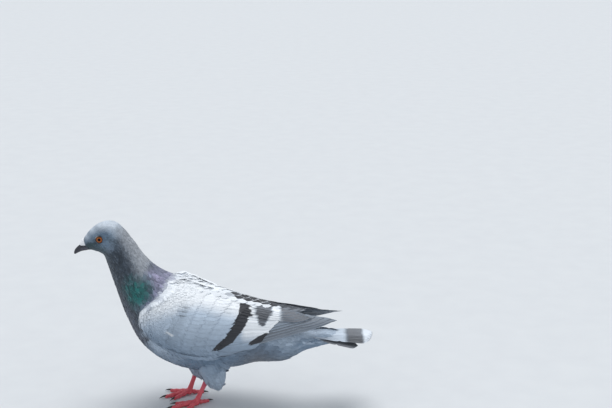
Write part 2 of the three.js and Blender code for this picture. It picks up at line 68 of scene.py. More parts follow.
def unit(vectors):
    return vectors / np.maximum(np.linalg.norm(vectors, axis=-1, keepdims=True), 1e-9)


# Soft round bump of height 1 at a place, for shaping a surface.
def swell(x, z, place, reach):
    return np.exp(-((x - place[0]) ** 2 + (z - place[1]) ** 2) / reach**2)


# Angles for a ball: down from its pole and round it.
def ballAngles(rows, columns):
    return np.meshgrid(np.linspace(0, math.pi, rows), turns(columns + 1, columns), indexing="ij")


# Even steps round a circle.
def turns(count, whole):
    return np.arange(count) * fullTurn / whole


# Meshes

def gridFaces(rows, columns, closed=False, flip=False):
    wide = columns if closed else columns - 1
    i, j = np.meshgrid(np.arange(rows - 1), np.arange(wide), indexing="ij")
    k = (j + 1) % columns
    quads = np.stack([i * columns + j, i * columns + k, (i + 1) * columns + k, (i + 1) * columns + j], -1)
    quads = quads.reshape(-1, 4)
    return (quads[:, ::-1] if flip else quads).tolist()


# Merges doubled points, and turns the faces of a closed shell outwards.
def weld(mesh, gap=0.001 * mm):
    work = bmesh.new()
    work.from_mesh(mesh)
    bmesh.ops.remove_doubles(work, verts=work.verts, dist=gap)
    bmesh.ops.recalc_face_normals(work, faces=work.faces)
    work.to_mesh(mesh)
    work.free()
    mesh.shade_smooth()


def makeMesh(name, points, faces):
    mesh = bpy.data.meshes.new(name)
    mesh.from_pydata((np.asarray(points).reshape(-1, 3) * mm).tolist(), [], faces)
    mesh.update()
    mesh.shade_smooth()
    return mesh


markKinds = {1: ("FLOAT", "value"), 3: ("FLOAT_VECTOR", "vector"), 4: ("FLOAT_COLOR", "color")}


def setMarks(mesh, name, values):
    values = np.asarray(values, np.float32)
    kind, key = markKinds[values.shape[-1]]
    attribute = mesh.attributes.new(name, kind, "POINT")
    attribute.data.foreach_set(key, values.ravel())


def setMap(mesh, name, values):
    corners = np.empty(len(mesh.loops), np.int32)
    mesh.loops.foreach_get("vertex_index", corners)
    layer = mesh.uv_layers.new(name=name)
    layer.data.foreach_set("uv", np.asarray(values, np.float32).reshape(-1, 2)[corners].ravel())


def vectorsOf(mesh, name):
    vectors = np.empty(len(mesh.vertices) * 3, np.float32)
    mesh.attributes[name].data.foreach_get("vector", vectors)
    return vectors.reshape(-1, 3)


def pointsOf(mesh):
    return vectorsOf(mesh, "position") / mm


def addToScene(name, data):
    item = bpy.data.objects.new(name, data)
    bpy.context.scene.collection.objects.link(item)
    return item


def addObject(mesh, *materials):
    for material in materials:
        mesh.materials.append(material)
    return addToScene(mesh.name, mesh)


# Several grids in one mesh, each with its own values at its points.
class Patchwork:
    def __init__(self):
        self.points = []
        self.faces = []
        self.values = {}
        self.count = 0

    def add(self, grid, faces, **values):
        grid = np.asarray(grid, float).reshape(-1, 3)
        self.faces += [[corner + self.count for corner in face] for face in faces]
        self.points.append(grid)
        for key, value in values.items():
            self.values.setdefault(key, []).append(np.asarray(value, float).reshape(len(grid), -1))
        self.count += len(grid)

    # A closed tube of rings with both ends shut.
    def addTube(self, grid, flip=False, **values):
        rows, columns = grid.shape[:2]
        faces = gridFaces(rows, columns, closed=True, flip=flip)
        last = (rows - 1) * columns
        first = list(range(columns))
        end = [last + k for k in range(columns)]
        faces.append(first if flip else first[::-1])
        faces.append(end[::-1] if flip else end)
        self.add(grid, faces, **values)

    def mesh(self, name):
        mesh = makeMesh(name, np.concatenate(self.points), self.faces)
        for key, parts in self.values.items():
            value = np.concatenate(parts)
            if value.shape[1] == 2:
                setMap(mesh, key, value)
            else:
                setMarks(mesh, key, value)
        return mesh


# Node helpers

def addNode(tree, kind, wires=None, **settings):
    node = tree.nodes.new(kind)
    for key, value in settings.items():
        setattr(node, key, value)
    for key, value in (wires or {}).items():
        if isinstance(value, bpy.types.NodeSocket):
            tree.links.new(value, node.inputs[key])
        else:
            node.inputs[key].default_value = value
    return node


def addSockets(tree, sockets):
    for name, way, kind in sockets:
        tree.interface.new_socket(name, in_out=way, socket_type="NodeSocket" + kind)


def mathNode(tree, operation, *values, clamp=False):
    wires = dict(enumerate(values))
    return addNode(tree, "ShaderNodeMath", wires, operation=operation, use_clamp=clamp).outputs[0]


def plus(tree, first, second, clamp=False):
    return mathNode(tree, "ADD", first, second, clamp=clamp)


def minus(tree, first, second):
    return mathNode(tree, "SUBTRACT", first, second)


def times(tree, first, *others):
    for other in others:
        first = mathNode(tree, "MULTIPLY", first, other)
    return first


def timesPlus(tree, value, factor, more, clamp=False):
    return mathNode(tree, "MULTIPLY_ADD", value, factor, more, clamp=clamp)


def mixColours(tree, factor, first, second, blend="MIX"):
    wires = {0: factor, 6: first, 7: second}
    return addNode(tree, "ShaderNodeMix", wires, data_type="RGBA", blend_type=blend).outputs[2]


# A value moved from one range to another, held inside the new one.
def ranged(tree, value, low, high, newLow=0.0, newHigh=1.0):
    wires = {0: value, 1: low, 2: high, 3: newLow, 4: newHigh}
    return addNode(tree, "ShaderNodeMapRange", wires, clamp=True).outputs[0]


def attributeNode(tree, name):
    return addNode(tree, "ShaderNodeAttribute", attribute_name=name, attribute_type="GEOMETRY").outputs


def objectPlace(tree):
    return addNode(tree, "ShaderNodeTexCoord").outputs["Object"]


def split(tree, vector):
    return addNode(tree, "ShaderNodeSeparateXYZ", {0: vector}).outputs


def noise(tree, place, scale, detail=2.0):
    wires = {"Vector": place, "Scale": scale, "Detail": detail}
    return addNode(tree, "ShaderNodeTexNoise", wires).outputs["Fac"]


def cellGrain(tree, place, scale, feature="F1"):
    wires = {"Vector": place, "Scale": scale}
    return addNode(tree, "ShaderNodeTexVoronoi", wires, feature=feature).outputs["Distance"]


def bumped(tree, height, strength, distance):
    wires = {"Strength": strength, "Distance": distance, "Height": height}
    return addNode(tree, "ShaderNodeBump", wires).outputs[0]


def newMaterial(name):
    material = bpy.data.materials.new(name)
    material.use_nodes = True
    material.node_tree.nodes.clear()
    return material, material.node_tree


def finishMaterial(tree, wires):
    shader = addNode(tree, "ShaderNodeBsdfPrincipled", wires)
    addNode(tree, "ShaderNodeOutputMaterial", {0: shader.outputs[0]})


# A colour as it looks on a screen, 0 to 255, in the linear values that shaders take.
def ink(red, green, blue):
    def linear(v):
        v = v / 255
        return v / 12.92 if v <= 0.04045 else ((v + 0.055) / 1.055) ** 2.4
    return (linear(red), linear(green), linear(blue), 1)


# Plumage. Each feather and each point of the skin carries eight marks, and the group mixes
# the inks by them, so that skin and coat are marked alike.
plumageInks = {
    "Body": ink(110, 130, 152),
    "Pale": ink(190, 204, 220),
    "Head": ink(96, 117, 138),
    "Neck": ink(53, 62, 72),
    "Green": ink(30, 110, 106),
    "Purple": ink(164, 158, 188),
    "Brown": ink(112, 112, 116),
    "Bar": ink(56, 57, 62),
    "White": ink(246, 249, 253),
}
edgeWidths = {"Bar": (0.3, 0.7), "White": (0.08, 0.92)}  # these two marks have frayed edges
inkOrder = ("Pale", "Head", "Neck", "Purple", "Green", "Brown", "White", "Bar")  # later ones cover
marksA = ("Pale", "Head", "Neck", "Brown")
marksB = ("Green", "Purple", "Bar", "White")
plumageFinish = {
    "cloud": dict(scale=70.0, detail=4.0, share=0.2),  # broad lighter and darker patches
    "mottle": dict(scale=260.0, detail=3.0, share=0.3, offWhite=0.8),  # fine ones, few on white
    "fray": dict(scale=900.0, share=0.4),
    "shine": dict(low=0.1, high=0.8, newLow=0.68),  # some green and purple feathers shine more
    # painted highlights on the tips of some neck feathers
    "tipHighlights": dict(start=0.7, full=0.95, some=0.5, all=0.9, purple=3.0, share=0.12),
    "tones": dict(plain=0.12, neck=0.55, head=0.3, middle=0.45),  # how feathers differ
    "root": dict(low=0.0, high=0.5, newLow=0.9, newHigh=1.03),  # roots are darker
    "barbs": dict(count=40.0, slant=34.0, light=0.025, high=0.3),
    "shaft": dict(wide=0.03, light=-0.12),
    "purpleGloss": 0.6,
}


# The colour that the marks give: the inks one over another.
def mixInks(tree, given):
    fray = plumageFinish["fray"]
    ragged = noise(tree, given["Place"], fray["scale"])
    ragged = timesPlus(tree, ragged, fray["share"], -fray["share"] / 2)
    colour = given["Body ink"]
    for name in inkOrder:
        share = given[name]
        if name in ("Green", "Purple"):
            share = times(tree, share, ranged(tree, given["Tone"], **plumageFinish["shine"]))
        if name in edgeWidths:
            share = plus(tree, share, times(tree, ragged, share))
            share = ranged(tree, share, *edgeWidths[name])
        colour = mixColours(tree, share, colour, given[name + " ink"])
    return colour


# How light a feather is for its tone, its place on the bird and along the feather.
def featherShade(tree, given, along):
    tones, cloud, mottle = (plumageFinish[key] for key in ("tones", "cloud", "mottle"))
    vary = timesPlus(tree, given["Neck"], tones["neck"], tones["plain"])
    vary = timesPlus(tree, given["Head"], tones["head"], vary)
    swing = timesPlus(tree, minus(tree, given["Tone"], tones["middle"]), vary, 1.0)
    clouds = noise(tree, given["Place"], cloud["scale"], cloud["detail"])
    drift = timesPlus(tree, clouds, cloud["share"], 1 - cloud["share"] / 2)
    patches = noise(tree, given["Place"], mottle["scale"], mottle["detail"])
    depth = timesPlus(tree, given["White"], -mottle["offWhite"] * mottle["share"], mottle["share"])
    drift = plus(tree, drift, times(tree, minus(tree, patches, 0.5), depth))
    return times(tree, swing, drift, ranged(tree, along, **plumageFinish["root"]))


def makePlumageGroup():
    tree = bpy.data.node_groups.new("plumage", "ShaderNodeTree")
    sockets = [(name, "INPUT", "Float") for name in marksA + marksB + ("Tone",)]
    sockets += [(name, "INPUT", "Vector") for name in ("Vane", "Place")]
    sockets += [(name + " ink", "INPUT", "Color") for name in plumageInks]
    sockets += [("Color", "OUTPUT", "Color"), ("Height", "OUTPUT", "Float"), ("Gloss", "OUTPUT", "Float")]
    addSockets(tree, sockets)
    given = addNode(tree, "NodeGroupInput").outputs
    across, along = split(tree, given["Vane"])[:2]
    # painted highlights: some feathers of the neck, the purple ones most, have paler tips that stand for
    # light caught on them
    tipHighlights = plumageFinish["tipHighlights"]
    tipHighlight = ranged(tree, along, tipHighlights["start"], tipHighlights["full"])
    chosen = ranged(tree, given["Tone"], tipHighlights["some"], tipHighlights["all"])
    shown = timesPlus(tree, given["Purple"], tipHighlights["purple"], given["Neck"])
    tipHighlight = times(tree, tipHighlight, chosen, shown, tipHighlights["share"])
    colour = mixColours(tree, tipHighlight, mixInks(tree, given), given["Pale ink"])
    # barbs run out from the shaft towards the tip
    barbs, shaft = plumageFinish["barbs"], plumageFinish["shaft"]
    aside = mathNode(tree, "ABSOLUTE", minus(tree, across, 0.5))
    rise = times(tree, along, barbs["count"])
    slant = minus(tree, rise, times(tree, aside, barbs["slant"]))
    barb = mathNode(tree, "SINE", times(tree, slant, fullTurn))
    quill = mathNode(tree, "LESS_THAN", aside, shaft["wide"])
    shade = featherShade(tree, given, along)
    shade = times(tree, shade, timesPlus(tree, barb, barbs["light"], 1.0))
    shade = times(tree, shade, timesPlus(tree, quill, shaft["light"], 1.0))
    grey = addNode(tree, "ShaderNodeCombineXYZ", {0: shade, 1: shade, 2: shade}).outputs[0]
    gloss = times(tree, given["Purple"], plumageFinish["purpleGloss"])
    addNode(tree, "NodeGroupOutput", {
        "Color": mixColours(tree, 1.0, colour, grey, "MULTIPLY"),
        "Height": plus(tree, times(tree, barb, barbs["high"]), quill),
        "Gloss": plus(tree, given["Green"], gloss, clamp=True),
    })
    return tree


skinVane = dict(tone=0.3, place=(0.2, 0.25, 0))  # bare skin is tinted as a feather's root


def plumageMaterial(name, group, feather=True, rough=0.6, bump=0.3):
    material, tree = newMaterial(name)
    node = addNode(tree, "ShaderNodeGroup", node_tree=group)
    for attribute, names in (("marksA", marksA), ("marksB", marksB)):
        given = attributeNode(tree, attribute)
        parts = addNode(tree, "ShaderNodeSeparateColor", {0: given["Color"]}).outputs
        for socket, source in zip(names, (parts[0], parts[1], parts[2], given["Alpha"])):
            tree.links.new(source, node.inputs[socket])
    for inkName, value in plumageInks.items():
        node.inputs[inkName + " ink"].default_value = value
    tree.links.new(objectPlace(tree), node.inputs["Place"])
    if feather:
        tree.links.new(attributeNode(tree, "tone")["Fac"], node.inputs["Tone"])
        tree.links.new(addNode(tree, "ShaderNodeUVMap", uv_map="vane").outputs[0], node.inputs["Vane"])
    else:
        node.inputs["Tone"].default_value = skinVane["tone"]
        node.inputs["Vane"].default_value = skinVane["place"]
    finishMaterial(tree, {
        "Base Color": node.outputs["Color"],
        "Roughness": rough,
        "Specular IOR Level": 0.3,
        "Sheen Weight": 0.12,
        "Sheen Roughness": 0.5,
        "Metallic": times(tree, node.outputs["Gloss"], 0.3),
        "Normal": bumped(tree, node.outputs["Height"], bump, 0.0002),
    })
    return material


plumage = makePlumageGroup()
coatMaterial = plumageMaterial("plumageCoat", plumage)
vaneMaterial = plumageMaterial("plumageVanes", plumage, rough=0.5, bump=0.45)
skinMaterial = plumageMaterial("plumageSkin", plumage, feather=False, bump=0.1)


# The stations of a form as one list for each measure. A pair gives two, named for its axes.
def listsOf(stations, axes):
    lists = {}
    for key, value in stations[0].items():
        if isinstance(value, tuple):
            for k, axis in enumerate(axes):
                lists[key + axis] = [station[key][k] for station in stations]
        else:
            lists[key] = [station[key] for station in stations]
    return lists


def measuresAt(lists, place):
    return {key: curveAt(values, place) for key, values in lists.items()}


# The body's outline from the tail coverts to the bill: the back and belly points of each
# section, half its width, how deep the coat is and how long its feathers are.
bodyStations = [
    dict(back=(-113, 76.6), belly=(-113, 67.2), half=11, depth=1.0, feather=16),  # covert tips
    dict(back=(-99, 78.2), belly=(-99, 62.0), half=14, depth=1.3, feather=15),
    dict(back=(-84, 80), belly=(-84, 56), half=15, depth=1.6, feather=14),  # tail root
    dict(back=(-60, 89), belly=(-58, 44.8), half=23, depth=1.9, feather=13),  # rump
    dict(back=(-27, 104.5), belly=(-31, 42.6), half=31, depth=2.1, feather=12.5),  # vent
    dict(back=(0, 117), belly=(-2, 37), half=38, depth=2.1, feather=12.5),  # loin
    dict(back=(24.5, 129), belly=(29.5, 35.5), half=43, depth=2.0, feather=12),  # keel
    dict(back=(49, 137), belly=(62.5, 46.8), half=42.5, depth=1.9, feather=11),  # breast
    dict(back=(68.5, 147), belly=(86, 66.5), half=36, depth=1.7, feather=9.5),  # shoulder
    dict(back=(82, 160.5), belly=(101, 95.5), half=26.5, depth=1.4, feather=8),  # neck base
    dict(back=(93, 177), belly=(112.5, 129.5), half=19, depth=1.2, feather=6.6),
    dict(back=(104, 191), belly=(121.3, 156.8), half=15, depth=1.0, feather=5),  # nape
    dict(back=(114, 196.4), belly=(126.9, 162.4), half=12.7, depth=0.8, feather=3.8),  # crown
    dict(back=(125.8, 194.2), belly=(131.2, 164), half=11.2, depth=0.6, feather=2.6),  # eye
    dict(back=(136.2, 186.3), belly=(135.6, 165.4), half=7.8, depth=0.4, feather=2.0),  # lores
    dict(back=(142.9, 177.3), belly=(139.2, 165), half=4.6, depth=0.3, feather=1.4),  # bill base
]
lastPlace = len(bodyStations) - 1
bodyShape = listsOf(bodyStations, "XZ")
eggShape = 0.08  # how much wider a section is above its middle
mouthLine = dict(z=167.9, x=142, rise=0.16)  # its height at x, and how much it rises for each mm back
eyeShape = dict(x=124.7, y=7.6, z=179.2, radius=5.0, opening=4.0, high=0.86, lid=5.0, cornea=0.03,
                corneaReach=0.55)
# feathers end at this line of the face
faceLine = dict(z=(164, 167.4, 169.3, 171.9, 176.9), x=(139.0, 138.8, 138.2, 139.2, 143.3))
# low swellings and hollows of the head, in millimetres out from its side
headForms = {
    "cheek": dict(place=(117, 173.5), reach=5.5, out=0.5),
    "browEdge": dict(place=(123, 185.5), reach=4.5, out=0.45),
    "eyeHollow": dict(place=(124.7, 179.2), reach=6.2, out=-0.75),
    "lores": dict(place=(134.5, 174.5), reach=4.0, out=-0.35),
}


def headRelief(x, z):
    return sum(form["out"] * swell(x, z, form["place"], form["reach"]) for form in headForms.values())


# Points of the body: place runs from tail to bill, angle from the back round the left side.
def bodyPoint(place, angle, sink=0.0):
    at = measuresAt(bodyShape, place)
    zero = np.zeros_like(at["backX"])
    back = np.stack([at["backX"], zero, at["backZ"]], -1)
    belly = np.stack([at["bellyX"], zero, at["bellyZ"]], -1)
    up = (back - belly) / 2
    length = np.linalg.norm(up, axis=-1, keepdims=True)
    under = sink * at["depth"]
    up = up / length * (length - under[..., None])
    points = (back + belly) / 2 + up * np.cos(angle)[..., None]
    relief = headRelief(points[..., 0], points[..., 2])
    wide = (at["half"] - under) * (1 + eggShape * np.cos(angle))
    points[..., 1] += (wide + relief) * np.sin(angle)
    return points


# The left wing's outer face from the bend to the tip: its upper and lower edge (y, z), how
# far it bulges between them and how thick it is.
wingStations = [
    dict(x=84, upper=(35, 107), lower=(39, 101), bulge=1, thick=5),
    dict(x=76, upper=(28, 121.5), lower=(41, 87), bulge=9.5, thick=12),
    dict(x=63, upper=(19.5, 133.5), lower=(42, 76.5), bulge=15.5, thick=16),
    dict(x=43, upper=(12, 136.5), lower=(42, 68), bulge=19, thick=16),
    dict(x=20, upper=(7.5, 129), lower=(41.5, 64), bulge=19, thick=14),
    dict(x=-5, upper=(4.5, 120.5), lower=(38, 65), bulge=15.5, thick=12),
    dict(x=-28, upper=(3.4, 113), lower=(33.5, 71), bulge=10.5, thick=9),
    dict(x=-53, upper=(3.4, 106.5), lower=(28.5, 77), bulge=5.5, thick=5),
    dict(x=-85, upper=(4.6, 99.5), lower=(21.5, 84), bulge=2.5, thick=3),
    dict(x=-108, upper=(7.5, 96), lower=(18, 89.5), bulge=1.2, thick=2),
    dict(x=-117.5, upper=(11.5, 94.5), lower=(15.5, 92.5), bulge=0.3, thick=1),
]
wingShape = listsOf(wingStations, "YZ")
wingX = np.array(wingShape.pop("x"), float)
rightWing = dict(longer=6, raised=2.2, raisedFrom=-35, raisedTo=-90)


def wingFrame(x):
    place = np.interp(-x, -wingX, np.arange(len(wingX)))
    at = measuresAt(wingShape, place)
    chord = np.hypot(at["lowerY"] - at["upperY"], at["lowerZ"] - at["upperZ"])
    return at, chord


# across runs from 0 at the wing's upper edge to 1 at its lower edge.
def wingPoint(x, across, depth=0.0):
    at, chord = wingFrame(x)
    lift = 4 * across * (1 - across) * at["bulge"] - depth
    y = lerp(at["upperY"], at["lowerY"], across) - lift * (at["lowerZ"] - at["upperZ"]) / chord
    z = lerp(at["upperZ"], at["lowerZ"], across) + lift * (at["lowerY"] - at["upperY"]) / chord
    return np.stack([x + 0 * y, y, z], -1)


def wingFace(x, across):
    alongX = wingPoint(x + 0.5, across) - wingPoint(x - 0.5, across)
    downwards = wingPoint(x, across + 0.01) - wingPoint(x, across - 0.01)
    return wingPoint(x, across), unit(np.cross(alongX, downwards))


# The right wing is the left one mirrored, and its tip lies a little further back and higher.
def sided(points, side):
    if side > 0:
        return points
    points = points * np.array([1, -1, 1])
    reach = wingX[0] - wingX[-1]
    points[..., 0] = wingX[0] + (points[..., 0] - wingX[0]) * (reach + rightWing["longer"]) / reach
    behind = smoothStep(rightWing["raisedFrom"], rightWing["raisedTo"], points[..., 0])
    points[..., 2] += rightWing["raised"] * behind
    return points


# Where the colours change, in millimetres. Spots are an (x, z) with their reach. The bands of
# the wing are lines of (x, v) with half their width, where v is the height less what the
# wing's slope adds to it.
markings = {
    "green": dict(x=87, z=132, wide=15, high=17),
    "purple": dict(x=68, z=147, wide=15, high=14),
    "forehead": [((140.5, 181), 5.0), ((135, 188), 5.5)],
    "ear": [((110.5, 182), 5.5)],
    "cheek": [((124, 171), 6)],
    "brow": [((123.5, 187), 4)],
    "lores": [((136.5, 172.5), 4)],
    "behindEye": [((116, 180.8), 3), ((111, 180.5), 3)],
    "beforeEye": [((130.5, 177), 2.6)],
    "vent": [((-30, 46), 22)],
    "covertEdge": [((-60, 64), 10)],
    "firstBar": [(-24.5, 128, 5.2), (-22.3, 109, 5.9), (-16.5, 95.5, 5.4), (-7.7, 82, 4.6), (3, 74, 3.2),
                 (10.5, 69.5, 0.6)],
    "secondBar": [(-42, 122, 9.6), (-42, 113, 9.2), (-40.6, 99.8, 3.8)],
    "lowerBar": [(-29, 77.5, 2.0), (-37, 81.5, 3.4), (-45, 86.5, 2.6)],
    "spot": [(-28, 109.2, 1.9), (-28.6, 109, 1.9)],
    # painted shadow lines where the wing's feathers overlap
    "shadowRipples": [[(-1, 121.5, 0.4), (-9, 119.5, 0.5)], [(-1, 116.5, 0.3), (-9, 114.5, 0.5)],
                [(-2, 111.5, 0.3), (-9, 109.5, 0.4)], [(53, 119, 0.5), (35, 116, 0.6)],
                [(50, 113.5, 0.5), (35, 111.5, 0.6)], [(46, 108.5, 0.4), (36, 107, 0.5)]],
    "streak": [(64, 96, 0.6), (49, 86.5, 1.2)],
    "mouthStreak": [(138.5, 171.2, 0.9), (131, 174.2, 0.7), (126.5, 174.2, 0.3)],
    "neckEdge": dict(z=(100, 105, 117, 122, 134, 138, 141.5, 150), x=(83, 80, 73, 67, 59, 55, 51, 58)),
    "wingSlope": 0.345,
    "slopeFrom": 40,
}


# How far points lie outside a band with a changing half width; less than 0 is inside it.
def bandGap(band, u, v):
    gaps = []
    for (x0, v0, w0), (x1, v1, w1) in zip(band, band[1:]):
        alongX, alongV = x1 - x0, v1 - v0
        share = ((u - x0) * alongX + (v - v0) * alongV) / (alongX**2 + alongV**2)
        share = np.clip(share, 0, 1)
        gaps.append(np.hypot(u - lerp(x0, x1, share), v - lerp(v0, v1, share)) - lerp(w0, w1, share))
    return np.minimum.reduce(gaps)


# Soft round spots of one name, the stronger where two meet.
def spotted(name, x, z):
    return np.maximum.reduce([swell(x, z, place, reach) for place, reach in markings[name]])


def stackMarks(pale=0, head=0, neck=0, brown=0, green=0, purple=0, bar=0, white=0):
    parts = np.broadcast_arrays(pale, head, neck, brown, green, purple, bar, white)
    return np.stack(parts[:4], -1), np.stack(parts[4:], -1)


# How far a point lies ahead of the uneven line where the neck's dark feathers end on the
# shoulders.
def neckGap(points):
    edge = markings["neckEdge"]
    ripple = 1.6 * np.sin(points[..., 2] * 0.9 + points[..., 1] * 0.5) + np.sin(points[..., 1] * 1.7 + 2)
    return points[..., 0] - np.interp(points[..., 2], edge["z"], edge["x"]) + ripple


shineFades = dict(reach=(1.25, 0.3), side=(6, 15), ragged=0.8)


# The shining patches on the sides of the neck.
def shinePatch(name, points, wobble):
    spot = markings[name]
    x, y, z = points[..., 0], points[..., 1], points[..., 2]
    reach = np.hypot((x - spot["x"]) / spot["wide"], (z - spot["z"]) / spot["high"])
    reach = reach + shineFades["ragged"] * wobble
    return smoothStep(*shineFades["reach"], reach) * smoothStep(*shineFades["side"], np.abs(y))


faceShares = dict(lores=0.65, throat=0.8, mouthStreak=0.5, behindEye=0.5, beforeEye=0.45)
faceFades = dict(throat=(0.6, 0.85), mouthStreak=(1.6, 0.2))


# Values of several areas together, each with its own share.
def shared(shares, areas):
    return sum(share * areas[name] for name, share in shares.items())


# How dark the lores, the throat, the line from the mouth and the eye's surround are.
def faceShadow(x, z, under):
    areas = {name: spotted(name, x, z) for name in ("lores", "behindEye", "beforeEye")}
    areas["throat"] = smoothStep(*faceFades["throat"], under)
    areas["mouthStreak"] = smoothStep(*faceFades["mouthStreak"], bandGap(markings["mouthStreak"], x, z))
    return shared(faceShares, areas)


# Areas of the body: how far round from the back each one reaches, and between which places.
bodyAreas = {
    "nape": dict(under=(0.42, 0.02), starts=(8.2, 9.2), ends=(11.6, 10.8)),
    "mantle": dict(under=(0.6, 0.3), starts=(4.0, 5.2), ends=(9, 8.6)),
    "rump": dict(under=(0.6, 0.2), starts=(1.8, 2.8), ends=(4.6, 3.8)),
    "breast": dict(under=(1.0, 0.75), starts=(6.3, 7.6), ends=(8.8, 8.1)),
    "throat": dict(under=(0.6, 0.95), starts=(-2, -1), ends=(9.9, 8.8)),
}
# how much of each area's colour the marks take
paleShares = dict(mantle=0.95, rump=0.85, coverts=1, breast=0.75, nape=0.6, covertEdge=0.3, head=1)
# the white of the crown and forehead is painted light from above
whiteShares = dict(mantle=0.75, crown=0.42, nape=0.22, forehead=0.25)
bodyShares = dict(headOverNeck=0.94, crown=0.97, brow=0.35, forehead=0.95, ear=0.3, cheek=0.1, head=0.97,
                  neck=0.97, napeOverNeck=0.55, collarOverNeck=0.35, ventNeck=0.55, brown=0.65,
                  collarPurple=0.8, throatPurple=0.1, shine=0.85, faceGreen=0.12, ventBar=0.1,
                  covertsBelow=0.05, covertsAbove=0.75)
crownLine = dict(x=116, drop=0.6, ragged=6)  # the crown's painted light from above drops towards the nape from here
# from value to value each of these grows from nothing to full
bodyFades = {
    "lower": (0.25, 0.5),
    "headStart": (10.5, 10.9),
    "headFull": (11.8, 11.5),
    "crown": (183, 194.5),
    "neckEdge": (-9, 12),
    "neckBelow": (8.0, 8.75),
    "back": (0.6, 0.45),
    "coverts": (2.8, 1.8),
    "covertSides": (0.6, 0.25),
    "collar": (24, 6),
    "collarHeight": (111, 124),
}


# The marks of the body. under is 0 along the back and 1 along the belly.
def bodyMarks(place, angle, points):
    under = (1 - np.cos(angle)) / 2
    x, y, z = points[..., 0], points[..., 1], points[..., 2]
    wobble = 0.12 * np.sin(x * 0.31 + z * 0.17) + 0.1 * np.sin(z * 0.53 - y * 0.21)
    place = place + wobble

    def fade(name, value):
        return smoothStep(*bodyFades[name], value)

    share = bodyShares
    areas = {}
    for name, area in bodyAreas.items():
        around = smoothStep(*area["under"], under)
        areas[name] = around * smoothStep(*area["starts"], place) * smoothStep(*area["ends"], place)
    lower = fade("lower", under)
    head = smoothStep(lerp(*bodyFades["headStart"], under), lerp(*bodyFades["headFull"], under), place)
    drop = crownLine["drop"] * np.maximum(0, crownLine["x"] - x)
    crown = head * fade("crown", z + drop + crownLine["ragged"] * wobble)
    forehead = head * spotted("forehead", x, z)
    # on the back the neck's edge follows its own line, below that the breast fades out
    edge = fade("neckEdge", neckGap(points))
    neck = lerp(fade("neckBelow", place + 0.5 * under), edge, fade("back", under))
    neck = neck * (1 - head * share["headOverNeck"])
    # the nape is paler and browner, partly its own brownish grey and partly painted rim light from above and
    # behind
    nape = areas["nape"]
    # painted shade: low on the body before the tail the colour is darkened with the brown, neck and bar inks
    vent = lower * spotted("vent", x, z)
    collar = neck * fade("collar", neckGap(points)) * fade("collarHeight", z)
    shadow = head * faceShadow(x, z, under)
    areas.update(
        mantle=areas["mantle"] * (1 - neck),
        breast=areas["breast"] * lower,
        coverts=fade("coverts", place) * (
            share["covertsBelow"] + share["covertsAbove"] * fade("covertSides", under)),
        covertEdge=spotted("covertEdge", x, z),
        head=head,
        crown=head * crown,
        forehead=forehead * (1 - crown),
    )
    # Painted light: the top of the head is made pale and white for the light that falls on it from above, the
    # forehead, ear coverts and cheek take a little of it, and the brow over the eye is kept darker.
    light = share["crown"] * crown - share["brow"] * spotted("brow", x, z)
    light = np.maximum(light, share["forehead"] * forehead)
    light = light + head * (share["ear"] * spotted("ear", x, z) + share["cheek"] * spotted("cheek", x, z))
    green = shinePatch("green", points, wobble)
    purple = np.maximum(shinePatch("purple", points, wobble), share["collarPurple"] * collar)
    dark = neck * share["neck"] * (1 - share["napeOverNeck"] * nape) * (1 - share["collarOverNeck"] * collar)
    throat = share["throatPurple"] * neck * areas["throat"]
    return stackMarks(
        pale=np.clip(shared(paleShares, areas), 0, 1),
        head=head * (1 - np.clip(light, 0, share["head"])) * share["head"],
        neck=np.clip(dark + shadow + share["ventNeck"] * vent, 0, 1),
        brown=share["brown"] * nape + share["brown"] * vent,
        green=green * share["shine"] + share["faceGreen"] * shadow * (1 - green),
        purple=np.clip(purple * share["shine"] + throat, 0, 1),
        bar=share["ventBar"] * vent,
        white=shared(whiteShares, areas),
    )


wingFades = dict(top=(106, 127), topShare=0.95, level=(20, 45), endDrop=0.3, behindBar=(-16, -24),
                 aboveEdge=(74, 92), streakShare=0.8, pale=(0.25, 1.0), paleFrom=60, paleOver=46,
                 front=30, frontRise=0.6, shadowRippleShare=0.5)
# how soft the bands' edges are, in millimetres
bandEdges = dict(firstBar=0.5, lowerBar=0.5, spot=0.5, secondBar=0.6, shadowRipples=0.7, streak=0.9)


# Marks of the wing at points of it: pale, dark bar, white, and the paler second bar together with painted
# shadow lines where feathers overlap. shift moves a whole feather's marks a little.
def wingMarks(points, shift=0.0):
    x = points[..., 0]
    v = points[..., 2] - markings["wingSlope"] * (np.abs(points[..., 1]) - markings["slopeFrom"])
    u = x + shift

    def inside(name, band=None):
        soft = bandEdges[name]
        return smoothStep(soft, -soft, bandGap(band or markings[name], u, v))

    bar = np.maximum.reduce([inside(name) for name in ("firstBar", "lowerBar", "spot")])
    # painted shadows: soft dark lines where feathers overlap, drawn in the second bar's ink
    ripple = np.maximum.reduce([inside("shadowRipples", band) for band in markings["shadowRipples"]])
    second = np.maximum(inside("secondBar"), wingFades["shadowRippleShare"] * ripple)
    # the white of the upper edge, partly the wing's own pale colour and partly painted light from above,
    # reaches further down at both ends of the wing
    rear, fore = wingFades["level"]
    ends = np.maximum(0, rear - x) + np.maximum(0, x - fore)
    top = wingFades["topShare"] * smoothStep(*wingFades["top"], v + wingFades["endDrop"] * ends)
    between = smoothStep(*wingFades["behindBar"], u) * smoothStep(*wingFades["aboveEdge"], v)
    streak = wingFades["streakShare"] * inside("streak")
    white = np.clip(top + between + streak, 0, 1) * (1 - second)
    # lower down the wing turns from pale to the body's grey, partly its own colour and partly painted shade
    rise = wingFades["frontRise"] * np.maximum(0, x - wingFades["front"])
    share = (v - wingFades["paleFrom"] - rise) / (wingFades["paleOver"] - rise)
    pale = lerp(*wingFades["pale"], smoothStep(0, 1, share))
    return pale, bar, white, second


